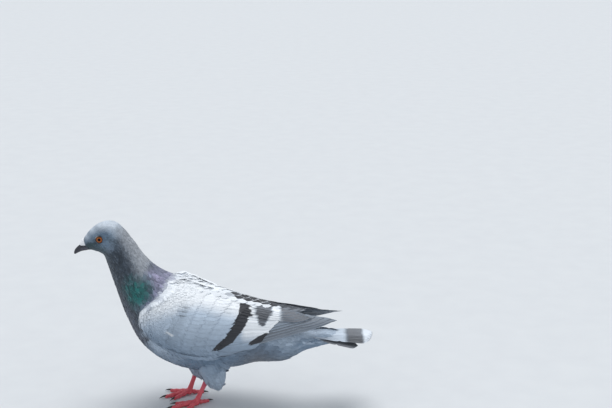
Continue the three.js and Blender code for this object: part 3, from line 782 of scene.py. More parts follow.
# Long feathers. Each is a closed thin vane with a raised shaft, laid over the wing or tail.
vaneShape = dict(rows=26, columns=10, root=0.6, widestFrom=0.35, blunt=0.03, roundTip=2.2, ridge=0.18,
                 ridgeWide=0.09, tipThin=0.55, rimThin=0.75, nickDepth=(0.8, 0.92), crowded=1.25)
atlasRoom = 0.98  # share of its cell that a feather takes on the map
# in a cell the upper face takes one half and the lower face the other
cellShape = dict(x=0.02, wide=0.46, lowerFace=0.5, y=0.03, high=0.94)


# Half the width along a vane, as a share of its widest.
def vaneProfile(t, tipStart):
    root = vaneShape["root"]
    tip = np.clip((t - tipStart) / (1 - tipStart), 0, 1)
    widened = root + (1 - root) * np.minimum(1, t / vaneShape["widestFrom"])
    return widened * np.sqrt(np.maximum(vaneShape["blunt"], 1 - tip ** vaneShape["roundTip"]))


# place(t, offset) gives the vane's upper face and the way it faces, t along it and offset
# in millimetres from its shaft. marks(points, t, s) colours it, s across it from -1 to 1.
def addVane(patch, place, half, form, marks, atlas, side=1, cornered=0.06, lead=1.0, nicks=2):
    rows, columns = vaneShape["rows"], vaneShape["columns"]
    t = 1 - (1 - np.linspace(0, 1, rows)) ** vaneShape["crowded"]
    s = np.linspace(-1, 1, columns + 1)
    t, s = np.meshgrid(t, s, indexing="ij")
    width = half * vaneProfile(t, form["tipStart"]) * np.where(s < 0, 1.0, lead)
    # a few barbs part from their neighbours at the edge
    for _ in range(nicks):
        row = dice.integers(rows // 3, rows - 2)
        edge = 0 if dice.random() < 0.5 else columns
        width[row, edge] *= dice.uniform(*vaneShape["nickDepth"])
    along = t * (1 - cornered * np.abs(s) ** 2.5 * t)
    top, normal = place(along, s * width)
    rim = 1 - vaneShape["rimThin"] * np.abs(s) ** 3
    ridge = vaneShape["ridge"] * np.exp(-(s / vaneShape["ridgeWide"]) ** 2) * (1 - 0.8 * t)
    thin = form["thick"] * rim * lerp(1, vaneShape["tipThin"], t)
    upper = top + normal * ridge[..., None]
    under = top - normal * thin[..., None]
    rings = np.concatenate([upper, under[:, ::-1]], 1)
    ringT = np.concatenate([t, t[:, ::-1]], 1)
    ringS = np.concatenate([s, s[:, ::-1]], 1)
    a, b = marks(rings, ringT, ringS)
    vane = np.stack([ringS / 2 + 0.5, ringT], -1)
    lowX, lowY, size = atlas
    face = np.concatenate([np.zeros_like(t), np.ones_like(t)], 1)
    bakeX = cellShape["x"] + cellShape["wide"] * vane[..., 0] + cellShape["lowerFace"] * face
    bakeX = lowX + size * bakeX
    bakeY = lowY + size * (cellShape["y"] + cellShape["high"] * ringT)
    patch.addTube(sided(rings, side), flip=side > 0, marksA=a, marksB=b,
                  tone=np.full(ringT.shape, dice.random()), vane=vane, OFBake=np.stack([bakeX, bakeY], -1))


# Cells of a square map, one for each feather of a piece.
def atlasCells(count):
    wide = math.ceil(math.sqrt(count))
    return [((k % wide) / wide, (k // wide) / wide, atlasRoom / wide) for k in range(wide * wide)]


# Rows of the wing's feathers: the first and the last of each measure, which runs along the row.
wingRows = {
    "secondaries": dict(count=10, rootX=(-2, 12), tipX=(-66, -42), rootAcross=(0.26, 0.86),
                        tipAcross=(0.3, 0.92), half=(8, 7), height=(-1.0, -0.15), tilt=0.14, thick=0.3,
                        tipStart=0.84),
    "tertials": dict(count=5, rootX=(8, 2), tipX=(-72, -92), rootAcross=(0.08, 0.26),
                     tipAcross=(0.12, 0.36), half=(5.5, 7.5), height=(-0.8, 0.5), tilt=0.22, thick=0.35,
                     tipStart=0.8),
    "greatCoverts": dict(count=13, rootX=(12, 44), tipX=(-31, 3), rootAcross=(0.07, 0.9),
                         tipAcross=(0.08, 0.95), half=(5.8, 5.0), height=(-0.75, -0.05), tilt=0.1, thick=0.2,
                         tipStart=0.7),
    "middleCoverts": dict(count=16, rootX=(24, 56), tipX=(-14, 19), rootAcross=(0.05, 0.9),
                          tipAcross=(0.06, 0.95), half=(5.0, 4.2), height=(-0.65, 0.05), tilt=0.1, thick=0.18,
                          tipStart=0.68),
    "lesserCoverts": dict(count=19, rootX=(30, 61), tipX=(0, 30), rootAcross=(0.04, 0.92),
                          tipAcross=(0.05, 0.96), half=(4.2, 3.5), height=(-0.9, 0.1), tilt=0.1, thick=0.16,
                          tipStart=0.66),
    "smallCoverts": dict(count=22, rootX=(37, 66), tipX=(13, 42), rootAcross=(0.04, 0.94),
                         tipAcross=(0.05, 0.97), half=(3.6, 2.9), height=(-2.3, 0.1), tilt=0.1, thick=0.15,
                         tipStart=0.64),
}
primaries = dict(tipX=(-115.5, -117.5, -112, -104, -95, -85), rootX=0, rootStep=-1, half=5.5, step=2.6,
                 fullChord=35, depth=1.8, layer=0.3, sink=1.5, tilt=0.15, thick=0.4, tipStart=0.8)


# Where the long feathers turn dark beyond the second bar, in x, and where their pale edges lie.
vaneFades = dict(secondaries=(-56, -61), tertials=(-57, -61), fringe=(0.84, 0.97), line=(0.62, 0.07),
                 primaryEdge=(0.86, 0.98), primaryTip=(0.5, 1.0))
secondInk = dict(neck=0.9, brown=0.55)  # the second bar's, which is paler than the first


def wingPath(path, height, tilt, half):
    def place(t, offset):
        x, across = path(t)
        _, chord = wingFrame(x)
        point, normal = wingFace(x, across + offset / chord)
        return point + normal * (height(t) + tilt * offset / half)[..., None], normal
    return place


def covertVane(shift):
    def marks(points, t, s):
        pale, bar, white, second = wingMarks(points, shift)
        neck, brown = (secondInk[key] * second for key in ("neck", "brown"))
        return stackMarks(pale, neck=neck, brown=brown, bar=bar, white=white)
    return marks


# Secondaries: pale with the second bar, then dark grey tips at the lower edge.
def secondaryVane(shift):
    def marks(points, t, s):
        pale, bar, white, second = wingMarks(points, shift)
        grey = smoothStep(*vaneFades["secondaries"], points[..., 0] + shift)
        neck, brown = (secondInk[key] * second for key in ("neck", "brown"))
        brown = np.maximum(brown, 0.8 * grey)
        return stackMarks(pale, neck=neck, brown=brown, bar=bar, white=white * (1 - grey))
    return marks


# How far out a point of a vane lies towards its edge and its tip, which starts at tipStart.
def vaneRim(t, s, tipStart):
    return np.hypot(s, np.maximum(0, t - tipStart) / (1 - tipStart))


# Tertials: brown grey beyond the second bar, with pale lines that follow the feather's edge.
def tertialVane(shift):
    def marks(points, t, s):
        pale, bar, white, second = wingMarks(points, shift)
        dark = smoothStep(*vaneFades["tertials"], points[..., 0] + shift)
        rim = vaneRim(t, s, wingRows["tertials"]["tipStart"])
        middle, wide = vaneFades["line"]
        fringe = smoothStep(*vaneFades["fringe"], rim) + 0.5 * np.exp(-((rim - middle) / wide) ** 2)
        second = second * (1 - dark)
        neck, brown = (secondInk[key] * second for key in ("neck", "brown"))
        brown = np.maximum(dark * (0.95 - 0.5 * fringe), brown)
        black = np.maximum(bar * (1 - dark), 0.25 * dark * (1 - fringe))
        white = white * (1 - dark)
        return stackMarks(lerp(pale, 0.3, dark), neck=neck, brown=brown, bar=black, white=white)
    return marks


# Primaries: grey with a fine pale edge, darker to the tip; the right wing's are dark.
def primaryVane(shift, side):
    def marks(points, t, s):
        edge = smoothStep(*vaneFades["primaryEdge"], np.abs(s))
        tip = smoothStep(*vaneFades["primaryTip"], t)
        broad = 0.5 + 0.5 * np.sin(s * 4 + shift)
        brown = 0.8 - 0.4 * edge - 0.3 * broad * (1 - 0.6 * tip)
        if side < 0:
            return stackMarks(0.3, neck=0.9 - 0.3 * edge, brown=0.6 * brown, bar=0.3 * tip * (1 - edge))
        return stackMarks(0.5 + 0.4 * edge, brown=brown - 0.12 * tip)
    return marks


def addWingRow(patch, row, marker, cells, side):
    for i in range(row["count"]):
        share = i / (row["count"] - 1)
        shift = dice.uniform(-0.4, 0.4)
        tipX = lerp(*row["tipX"], share) + dice.uniform(-0.9, 0.9)
        rootX, rootAcross, tipAcross, half = (
            lerp(*row[key], share) for key in ("rootX", "rootAcross", "tipAcross", "half"))

        def path(t, rootX=rootX, tipX=tipX, rootAcross=rootAcross, tipAcross=tipAcross):
            return lerp(rootX, tipX, t), lerp(rootAcross, tipAcross, t)

        def height(t):
            return lerp(*row["height"], t)

        place = wingPath(path, height, row["tilt"], half)
        addVane(patch, place, half, row, marker(shift), cells.pop(), side, lead=0.95)


def addPrimaries(patch, cells, side):
    half = primaries["half"]
    for k, tipX in enumerate(primaries["tipX"]):
        rootX = primaries["rootX"] + primaries["rootStep"] * k

        def path(t, k=k, rootX=rootX, tipX=tipX):
            x = lerp(rootX, tipX, t)
            _, chord = wingFrame(x)
            step = primaries["step"] * np.minimum(1, 0.3 + chord / primaries["fullChord"])
            return x, 1 - (np.minimum(half, chord / 2) + step * k) / chord

        def height(t, k=k):
            return -primaries["depth"] + primaries["layer"] * k - primaries["sink"] * (1 - t) ** 2

        place = wingPath(path, height, primaries["tilt"], half)
        marks = primaryVane(k, side)
        addVane(patch, place, half, primaries, marks, cells.pop(), side, cornered=0.03, nicks=1)


def rowsCount(*names):
    return sum(wingRows[name]["count"] for name in names)


# A piece made of vanes, listed in pieces with the name of one of the record's slots.
def finishVanes(patch, name, slotName="plumage_wing"):
    piece = addObject(patch.mesh(name), vaneMaterial)
    pieces.append((piece, slotName))
    print(name, "faces", len(piece.data.polygons))
    return piece


def makeWingFeathers(name, side):
    flight = Patchwork()
    cells = atlasCells(rowsCount("secondaries", "tertials") + len(primaries["tipX"]))
    addPrimaries(flight, cells, side)
    addWingRow(flight, wingRows["secondaries"], secondaryVane, cells, side)
    addWingRow(flight, wingRows["tertials"], tertialVane, cells, side)
    finishVanes(flight, "flightFeathers" + name)
    coverts = Patchwork()
    rows = ("greatCoverts", "middleCoverts", "lesserCoverts", "smallCoverts")
    cells = atlasCells(rowsCount(*rows))
    for row in rows:
        addWingRow(coverts, wingRows[row], covertVane, cells, side)
    finishVanes(coverts, "coverts" + name)


makeWingFeathers("Left", 1)
makeWingFeathers("Right", -1)

# The scapulars lie from the back over the wings' upper edges, and meet along the middle.
ridgeLine = [(-64, 143), (-43, 137.6), (-20, 130), (5, 121.6), (28, 114), (53, 107.4), (80, 101)]
scapulars = dict(count=14, rootX=46, step=7.6, long=(13, 30), across=(2.5, 8, 13.5), wide=(1.3, 0.2),
                 half=(3.1, 3.7), height=(-1.6, 0.4), sunk=2.6, tilt=0.024, thick=0.16, tipStart=0.62,
                 darkLines=2, lineStep=0.37, sideStep=1.5, sunkFrom=0.95, sunkTo=0.2, facing=(0.28, 0.03))
scapularFades = dict(grey=(-56, -62), fringe=(0.78, 0.94), fringeFrom=0.75, fringeEnd=(-56, -40),
                     dark=(14, -2), behind=(-40, -60))


# How high the feathers of the back lie: from the ridge out to the wing's edge and on over it.
def backHeight(x, y):
    heights = np.empty(y.shape)
    for row in range(len(y)):
        edge = wingPoint(x[row, :1], np.linspace(0, 0.5, 16))
        ridge = np.interp(-x[row, 0], *np.transpose(ridgeLine))
        heights[row] = np.interp(np.abs(y[row]), [0, *edge[:, 1]], [ridge, *(edge[:, 2] + 0.4)])
    return heights


# White in front and grey at the wings' rear. Along the ridge they turn dark with white edges
# halfway back, then all dark.
def scapularVane(darkened):
    def marks(points, t, s):
        x = points[..., 0]
        if not darkened:
            grey = smoothStep(*scapularFades["grey"], x)
            return stackMarks(1 - 0.5 * grey, brown=0.75 * grey, bar=0.2 * grey, white=0.85 * (1 - grey))
        rim = vaneRim(t, s, scapularFades["fringeFrom"])
        fringe = smoothStep(*scapularFades["fringe"], rim) * smoothStep(*scapularFades["fringeEnd"], x)
        dark = smoothStep(*scapularFades["dark"], x.max()) * (1 - fringe)
        behind = smoothStep(*scapularFades["behind"], x)
        return stackMarks(1, neck=0.9 * dark, brown=0.3 * dark * behind, bar=dark * (0.95 - 0.5 * behind),
                          white=0.85 * (1 - dark))
    return marks


def makeScapulars():
    patch = Patchwork()
    lines = len(scapulars["across"])
    cells = atlasCells(2 * lines * scapulars["count"])
    for k in range(scapulars["count"] - 1, -1, -1):
        share = k / (scapulars["count"] - 1)
        front = max(0, 1 - k / 3)  # the first ones come out from under the mantle
        for side, line in ((side, line) for side in (1, -1) for line in range(lines)):
            back = scapulars["step"] * (k + scapulars["lineStep"] * line)
            rootX = scapulars["rootX"] - back + scapulars["sideStep"] * side
            long = lerp(*scapulars["long"], share) * dice.uniform(0.92, 1.08)
            middle = side * scapulars["across"][line] * lerp(*scapulars["wide"], share)

            def place(t, offset, rootX=rootX, long=long, middle=middle, side=side, front=front):
                x = rootX - long * t + 0 * offset
                y = middle + offset
                free, covered = (rootX - scapulars[key] * long for key in ("sunkFrom", "sunkTo"))
                sunk = scapulars["sunk"] * front * smoothStep(free, covered, x)
                tilted = scapulars["tilt"] * offset * side
                z = backHeight(x, y) + lerp(*scapulars["height"], t) - tilted - sunk
                forwards, outwards = scapulars["facing"]
                normal = unit(np.stack([forwards + 0 * y, outwards * y, 1 + 0 * y], -1))
                return np.stack([x, y, z], -1), normal

            marks = scapularVane(line < scapulars["darkLines"])
            addVane(patch, place, lerp(*scapulars["half"], share), scapulars, marks, cells.pop())
    finishVanes(patch, "scapulars")


makeScapulars()

tailFan = dict(pairs=6, rootX=-90, tipX=-155, rootZ=77, tipZ=75, halfTip=27, innerY=2, stepY=3.3,
               rootStepX=0.8, rootStepY=1.6, half=8.5, dome=2, cup=0.008, layer=0.45, thick=0.6,
               tipStart=0.84, roundEnd=6, drop=4, shorter=10)
tailFades = dict(edge=(0.85, 1.0), lowered=(-96, -106), bandStart=(-123.5, -130), bandEnd=(-145.5, -142),
                 tip=(-142, -146.5))


# Pale, with a dark band before the tip. The lowered outer feather is dark to its tip, partly its own dark
# colour and partly painted shadow of the gap above it.
def tailVane(lowered):
    def marks(points, t, s):
        x = points[..., 0] + 1.2 * np.abs(s)
        edge = smoothStep(*tailFades["edge"], np.abs(s))
        if lowered:
            band = smoothStep(*tailFades["lowered"], x)
            tip = 0
        else:
            band = smoothStep(*tailFades["bandStart"], x) * smoothStep(*tailFades["bandEnd"], x)
            tip = smoothStep(*tailFades["tip"], x)
        white = 0.3 * tip + 0.28 * (1 - band) * (not lowered)
        brown = band * (0.62 - 0.15 * edge)
        return stackMarks(0.9 * (1 - band), neck=0.9 * band, brown=brown, bar=0.2 * band, white=white)
    return marks


def makeTail():
    patch = Patchwork()
    cells = atlasCells(2 * tailFan["pairs"])
    for side, pair in ((side, pair) for side in (1, -1) for pair in range(tailFan["pairs"])):
        lowered = pair == tailFan["pairs"] - 1 and side > 0
        order = pair + (0 if side > 0 else 0.5)
        rootX = tailFan["rootX"] - tailFan["rootStepX"] * order
        tipX = tailFan["tipX"] + tailFan["roundEnd"] * (pair / (tailFan["pairs"] - 1)) ** 2
        tipX += tailFan["shorter"] if lowered else 0
        drop = tailFan["drop"] if lowered else 0

        def place(t, offset, pair=pair, side=side, order=order, rootX=rootX, tipX=tipX, drop=drop):
            rootY = tailFan["rootStepY"] * (pair + 0.5)
            tipY = tailFan["innerY"] + tailFan["stepY"] * pair
            y = side * lerp(rootY, tipY, t**0.9) + offset
            z = lerp(tailFan["rootZ"], tailFan["tipZ"], t) - tailFan["layer"] * order - drop * t
            z = z - tailFan["dome"] * (y / tailFan["halfTip"]) ** 2 - tailFan["cup"] * offset**2
            upwards = np.broadcast_to([0.0, 0.0, 1.0], y.shape + (3,))
            return np.stack([lerp(rootX, tipX, t), y, z], -1), upwards

        marks = tailVane(lowered)
        addVane(patch, place, tailFan["half"], tailFan, marks, cells.pop(), cornered=0.03, nicks=3)
    tail = finishVanes(patch, "tailFeathers", "plumage_tail")
    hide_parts("tail")


makeTail()


# The legs: hip, lower end of the thigh's feathers, hock and foot of each.
legs = {
    "left": dict(sign=1, hip=(14, 14.5, 50), tuft=(8, 15.5, 21.5), hock=(17, 15.5, 31),
                 foot=(30, 15), turned=28),
    "right": dict(sign=-1, hip=(30, -14.5, 50), tuft=(26.5, -15.5, 21.5), hock=(30, -15.5, 31),
                  foot=(40, -14.5), turned=18),
}
thighShape = dict(top=16, middle=11.5, end=5, middleShare=0.65)
tarsusShape = dict(top=3.1, middle=2.3, knuckle=3.2, height=2.9)


# A round limb through points, with a radius at each: its points and the ways they face.
def limbPoints(points, radii, rows, columns):
    points = np.asarray(points, float)
    place = np.linspace(0, len(points) - 1, rows)
    turn = turns(columns, columns)

    def lineAt(place):
        return np.stack([curveAt(points[:, k], place) for k in range(3)], -1)

    along = unit(lineAt(place + 0.02) - lineAt(place - 0.02))
    level = unit(np.stack([-along[:, 1], along[:, 0], 0 * along[:, 0]], -1))
    up = np.cross(along, level)
    out = level[:, None] * np.cos(turn)[None, :, None] + up[:, None] * np.sin(turn)[None, :, None]
    radius = curveAt(radii, place)[:, None, None]
    return lineAt(place)[:, None] + out * radius, out, along


def thighLine(leg):
    hip, tuft = np.array(leg["hip"], float), np.array(leg["tuft"], float)
    middle = lerp(hip, tuft, thighShape["middleShare"])
    return [hip, middle, tuft], [thighShape["top"], thighShape["middle"], thighShape["end"]]


# The skin: body, wings and thighs grown into one closed surface, under the coat. Beside its
# marks it carries what the coat needs: the lie and length of the feathers, the place along
# the body and how far each point belongs to a wing or a thigh.
skinShape = dict(rows=180, columns=80, voxel=1.25, sink=1.0, wingDepth=1.5, thighDepth=1.0, wingEnd=-22,
                 smooth=5, near=7, soft=0.4)
shellShape = dict(rows=56, columns=26, thinnest=6, rim=0.3, rimRise=2.2, lie=(-1, -0.25, -0.3),
                  turnDown=0.25, bend=(40, 80), length=(12.0, 6.5), lengthFade=(15, 82), place=6)
# the wing's front is tinted as the neck's side above it
shellMarks = dict(ahead=(-4, 8), above=(108, 118), neck=0.35, second=0.6, pale=0.4, purple=0.5)
thighSkin = dict(rows=30, columns=30, lean=(-0.35, 0, 0), pale=(0.4, 1.0), length=(9.0, 6.5))


def wingShell():
    x = np.linspace(wingX[0] - 1, skinShape["wingEnd"], shellShape["rows"])[:, None]
    across = np.linspace(0.0, 1.0, shellShape["columns"])[None, :]
    rim = np.minimum(1, shellShape["rim"] + shellShape["rimRise"] * np.sqrt(across * (1 - across)))
    at, _ = wingFrame(x)
    outer = wingPoint(x, across, skinShape["wingDepth"] * rim)
    thick = np.maximum(at["thick"], shellShape["thinnest"]) * rim
    inner = wingPoint(x, across, thick + skinShape["wingDepth"])
    return np.concatenate([outer, inner[:, ::-1]], 1)


# parts holds the place along the body and how far a point belongs to a wing and to a thigh.
def addTorso(patch):
    columns = skinShape["columns"]
    places = np.linspace(0, lastPlace, skinShape["rows"])
    place, angle = np.meshgrid(places, turns(columns, columns), indexing="ij")
    body = bodyPoint(place, angle, skinShape["sink"])
    lie = unit(bodyPoint(place - 0.02, angle) - bodyPoint(place + 0.02, angle))
    a, b = bodyMarks(place, angle, body)
    patch.addTube(body, flip=True, marksA=a, marksB=b, lie=lie,
                  featherLength=curveAt(bodyShape["feather"], place),
                  parts=np.stack([place, 0 * place, 0 * place], -1))


def addWingShell(patch, side):
    shell = wingShell()
    x = shell[..., 0]
    pale, _, white, second = wingMarks(shell)
    ahead = smoothStep(*shellMarks["ahead"], neckGap(shell))
    ahead = ahead * smoothStep(*shellMarks["above"], shell[..., 2])
    neck = np.maximum(shellMarks["neck"] * ahead, shellMarks["second"] * second)
    pale = lerp(pale, shellMarks["pale"], ahead)
    a, b = stackMarks(pale, neck=neck, purple=shellMarks["purple"] * ahead, white=white * (1 - ahead))
    lie = np.array(shellShape["lie"]) + 0 * shell
    lie[..., 2] -= shellShape["turnDown"] * smoothStep(*shellShape["bend"], x)  # round the bend
    lie = unit(lie) * np.array([1, side, 1])
    patch.addTube(sided(shell, side), flip=side > 0, marksA=a, marksB=b, lie=lie,
                  featherLength=lerp(*shellShape["length"], smoothStep(*shellShape["lengthFade"], x)),
                  parts=np.stack([shellShape["place"] + 0 * x, 1 + 0 * x, 0 * x], -1))


def addThigh(patch, leg):
    rows, columns = thighSkin["rows"], thighSkin["columns"]
    line, radii = thighLine(leg)
    limb, _, along = limbPoints(line, [radius - skinShape["thighDepth"] for radius in radii], rows, columns)
    down = np.linspace(0, 1, rows)[:, None] * np.ones((1, columns))
    a, b = stackMarks(lerp(*thighSkin["pale"], down))
    lie = unit(along[:, None] + np.array(thighSkin["lean"]) + 0 * limb)
    patch.addTube(limb, marksA=a, marksB=b, lie=lie, featherLength=lerp(*thighSkin["length"], down),
                  parts=np.stack([6 - down, 0 * down, 1 + 0 * down], -1))


# The parts as one closed mesh.
def grownTogether(patch):
    rough = addObject(patch.mesh("skinParts"))
    remesh = rough.modifiers.new("join", "REMESH")
    remesh.mode = "VOXEL"
    remesh.voxel_size = skinShape["voxel"] * mm
    relax = rough.modifiers.new("relax", "SMOOTH")
    relax.iterations = skinShape["smooth"]
    mesh = bpy.data.meshes.new_from_object(rough.evaluated_get(bpy.context.evaluated_depsgraph_get()))
    mesh.name = "skin"
    bpy.data.objects.remove(rough)
    return mesh


def makeSkin():
    patch = Patchwork()
    addTorso(patch)
    for side in (1, -1):
        addWingShell(patch, side)
    for leg in legs.values():
        addThigh(patch, leg)
    mesh = grownTogether(patch)
    # each point takes its values from the nearest points of the parts
    tree = KDTree(patch.count)
    for i, point in enumerate(np.concatenate(patch.points)):
        tree.insert(point, i)
    tree.balance()
    found = [tree.find_n(point, skinShape["near"]) for point in pointsOf(mesh)]
    nearest = np.array([[hit[1] for hit in hits] for hits in found])
    weight = 1 / (np.array([[hit[2] for hit in hits] for hits in found]) ** 2 + skinShape["soft"])
    weight /= weight.sum(1, keepdims=True)
    for name, parts in patch.values.items():
        if name in mesh.attributes:
            mesh.attributes.remove(mesh.attributes[name])
        values = np.concatenate(parts)[nearest]
        setMarks(mesh, name, (values * weight[..., None]).sum(1))
    mesh.shade_smooth()
    print("skin, faces", len(mesh.polygons))
    return addObject(mesh, skinMaterial)


skin = makeSkin()
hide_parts("torso", "neck", "head", "wing_left", "wing_right", "thigh_left", "thigh_right")
pieces.append((skin, "plumage_body"))


featherShape = dict(crowded=0.85, root=0.3, widens=1.7, blunt=0.03, roundTip=2.6, cornered=0.14, corner=2.5)


# One small feather, one unit long, rooted at the origin and pointing along Y.
def makeFeather(name, rows, columns, wide, fringe, cup, curl, roundFrom=0.5):
    along = np.linspace(0, 1, rows + 1) ** featherShape["crowded"]
    t, s = np.meshgrid(along, np.linspace(-1, 1, columns + 1), indexing="ij")
    tip = np.clip((t - roundFrom) / (1 - roundFrom), 0, 1)
    blunt = featherShape["blunt"]
    width = wide * np.minimum(1, featherShape["root"] + featherShape["widens"] * t)
    width = width * np.sqrt(np.clip(1 + blunt - tip ** featherShape["roundTip"], blunt, 1))
    odd = np.arange(columns + 1) % 2
    corner = featherShape["cornered"] * np.abs(s) ** featherShape["corner"] * t
    y = t - corner + fringe * odd[None, :] * (t > 0.99)
    z = curl * t * (t - 1) * 4 - cup * s**2 * width / wide * 0.5
    mesh = makeMesh(name, np.stack([s * width / 2, y, z], -1) / mm, gridFaces(rows + 1, columns + 1))
    setMap(mesh, "vane", np.stack([s / 2 + 0.5, t], -1))
    return addObject(mesh)


# how feathers of a coat differ: least, most and the seed of the draw
coatDraws = dict(tone=(0.0, 1.0, 3), lift=(0.6, 1.5, 5), roll=(-0.6, 0.6, 7), aside=(-1.0, 1.0, 6),
                 length=(0.82, 1.12, 8), width=(0.88, 1.12, 9), rise=(0.0, 1.0, 10))


# Scatters feathers over a surface. lie, featherLength and dense are values that the surface
# carries at its points.
def makeCoatTree():
    tree = bpy.data.node_groups.new("layFeathers", "GeometryNodeTree")
    sockets = [("Geometry", "INPUT", "Geometry"), ("Feather", "INPUT", "Object")]
    sockets += [(name, "INPUT", "Float") for name in ("Spacing", "Longer", "Lift", "Stray", "Rise")]
    sockets += [("Seed", "INPUT", "Int"), ("Material", "INPUT", "Material")]
    sockets += [("Geometry", "OUTPUT", "Geometry")]
    addSockets(tree, sockets)
    given = addNode(tree, "NodeGroupInput").outputs

    def named(name, kind="FLOAT"):
        wires = {"Name": name}
        return addNode(tree, "GeometryNodeInputNamedAttribute", wires, data_type=kind).outputs["Attribute"]

    def draw(measure):
        low, high, seed = coatDraws[measure]
        wires = {2: low, 3: high, "Seed": seed}
        return addNode(tree, "FunctionNodeRandomValue", wires, data_type="FLOAT").outputs[1]

    def combined(x, y, z):
        return addNode(tree, "ShaderNodeCombineXYZ", {0: x, 1: y, 2: z}).outputs[0]

    scatter = addNode(tree, "GeometryNodeDistributePointsOnFaces", {
        "Mesh": given["Geometry"],
        "Distance Min": given["Spacing"],
        "Density Max": mathNode(tree, "DIVIDE", 4.0, times(tree, given["Spacing"], given["Spacing"])),
        "Density Factor": named("dense"),
        "Seed": given["Seed"],
    }, distribute_method="POISSON").outputs
    toned = addNode(tree, "GeometryNodeStoreNamedAttribute", {
        "Geometry": scatter["Points"],
        "Name": "tone",
        "Value": draw("tone"),
    }, data_type="FLOAT", domain="POINT")
    flat = addNode(tree, "FunctionNodeAxesToRotation", {
        "Primary Axis": scatter["Normal"],
        "Secondary Axis": named("lie", "FLOAT_VECTOR"),
    }, primary_axis="Z", secondary_axis="Y")
    lift = times(tree, given["Lift"], draw("lift"))
    roll = times(tree, given["Stray"], draw("roll"))
    aside = times(tree, given["Stray"], draw("aside"))
    turn = addNode(tree, "FunctionNodeEulerToRotation", {0: combined(lift, roll, aside)}).outputs[0]
    laid = addNode(tree, "FunctionNodeRotateRotation", {0: flat.outputs[0], 1: turn}, rotation_space="LOCAL")
    length = times(tree, named("featherLength"), mm, given["Longer"], draw("length"))
    width = times(tree, length, draw("width"))
    shape = addNode(tree, "GeometryNodeObjectInfo", {"Object": given["Feather"]}, transform_space="ORIGINAL")
    wires = {0: scatter["Normal"], "Scale": times(tree, given["Rise"], draw("rise"))}
    offset = addNode(tree, "ShaderNodeVectorMath", wires, operation="SCALE").outputs[0]
    risen = addNode(tree, "GeometryNodeSetPosition", {"Geometry": toned.outputs[0], "Offset": offset})
    placed = addNode(tree, "GeometryNodeInstanceOnPoints", {
        "Points": risen.outputs[0],
        "Instance": shape.outputs["Geometry"],
        "Rotation": laid.outputs[0],
        "Scale": combined(width, length, length),
    })
    realized = addNode(tree, "GeometryNodeRealizeInstances", {0: placed.outputs[0]})
    wires = {"Geometry": realized.outputs[0], "Material": given["Material"]}
    addNode(tree, "NodeGroupOutput", {0: addNode(tree, "GeometryNodeSetMaterial", wires).outputs[0]})
    return tree


coatTree = makeCoatTree()
coatMap = dict(patch=0.003, margin=0.04, wingWide=0.14, leftWing=0.02, rightWing=0.84, bodyFrom=0.2,
               bodyWide=0.6, wingFrom=-40, wingLong=130)


# Where a point of the skin lies on its unwrap: place runs along the body, and the turn round
# it is measured in the section at that place. The two wings take the sides of the map.
def unwrapped(points, parts):
    x, y, z = points[..., 0], points[..., 1], points[..., 2]
    place = parts[..., 0]
    at = measuresAt(bodyShape, place)
    upX, upZ = (at["backX"] - at["bellyX"]) / 2, (at["backZ"] - at["bellyZ"]) / 2
    height = ((x - at["bellyX"] - upX) * upX + (z - at["bellyZ"] - upZ) * upZ) / (upX**2 + upZ**2)
    turn = np.arctan2(y / at["half"], height) / fullTurn + 0.5
    edge, chord = wingFrame(x)
    downY, downZ = edge["lowerY"] - edge["upperY"], edge["lowerZ"] - edge["upperZ"]
    across = ((np.abs(y) - edge["upperY"]) * downY + (z - edge["upperZ"]) * downZ) / chord**2
    side = np.where(y > 0, coatMap["leftWing"], coatMap["rightWing"])
    wing = parts[..., 1] > 0.5
    wingU = side + coatMap["wingWide"] * np.clip(across, -0.1, 1.1)
    wingV = (x - coatMap["wingFrom"]) / coatMap["wingLong"]
    u = np.where(wing, wingU, coatMap["bodyFrom"] + coatMap["bodyWide"] * turn)
    v = np.where(wing, wingV, place / lastPlace)
    return np.stack([u, lerp(coatMap["margin"], 1 - coatMap["margin"], v)], -1)


# Gives each feather a patch of the map at its root's place.
def mapCoat(mesh, feather):
    corners = len(feather.loops)
    count = len(mesh.loops) // corners
    points = pointsOf(mesh).reshape(count, -1, 3)[:, 0]
    parts = vectorsOf(mesh, "parts").reshape(count, -1, 3)[:, 0]
    vane = np.empty(len(mesh.loops) * 2, np.float32)
    mesh.uv_layers["vane"].data.foreach_get("uv", vane)
    baked = unwrapped(points, parts)[:, None] + (vane.reshape(count, corners, 2) - 0.5) * coatMap["patch"]
    layer = mesh.uv_layers.new(name="OFBake")
    layer.data.foreach_set("uv", baked.astype(np.float32).ravel())


# Runs the coat tree over the skin where dense is above nothing, and keeps a plain mesh.
def growCoat(name, dense, coat, seed):
    surface = addObject(skin.data.copy())
    setMarks(surface.data, "dense", dense[:, None])
    inputs = {item.name: item.identifier for item in coatTree.interface.items_tree if item.in_out == "INPUT"}
    modifier = surface.modifiers.new("coat", "NODES")
    modifier.node_group = coatTree
    feather = feathers[coat["feather"]]
    values = {
        "Feather": feather,
        "Spacing": coat["spacing"] * mm,
        "Longer": coat["longer"],
        "Lift": coat["lift"],
        "Stray": coat["stray"],
        "Rise": coat["rise"] * mm,
        "Seed": seed,
        "Material": coatMaterial,
    }
    for key, value in values.items():
        modifier[inputs[key]] = value
    mesh = bpy.data.meshes.new_from_object(surface.evaluated_get(bpy.context.evaluated_depsgraph_get()))
    mesh.name = name
    surface.modifiers.remove(modifier)
    mapCoat(mesh, feather.data)
    for extra in ("lie", "featherLength", "dense", "parts"):
        mesh.attributes.remove(mesh.attributes[extra])
    mesh.shade_smooth()
    bpy.data.objects.remove(surface)
    pieces.append((addObject(mesh), coat.get("slot", "plumage_body")))
    count = len(mesh.polygons)
    print(name, "feathers", count // len(feather.data.polygons), "triangles", count * 2)


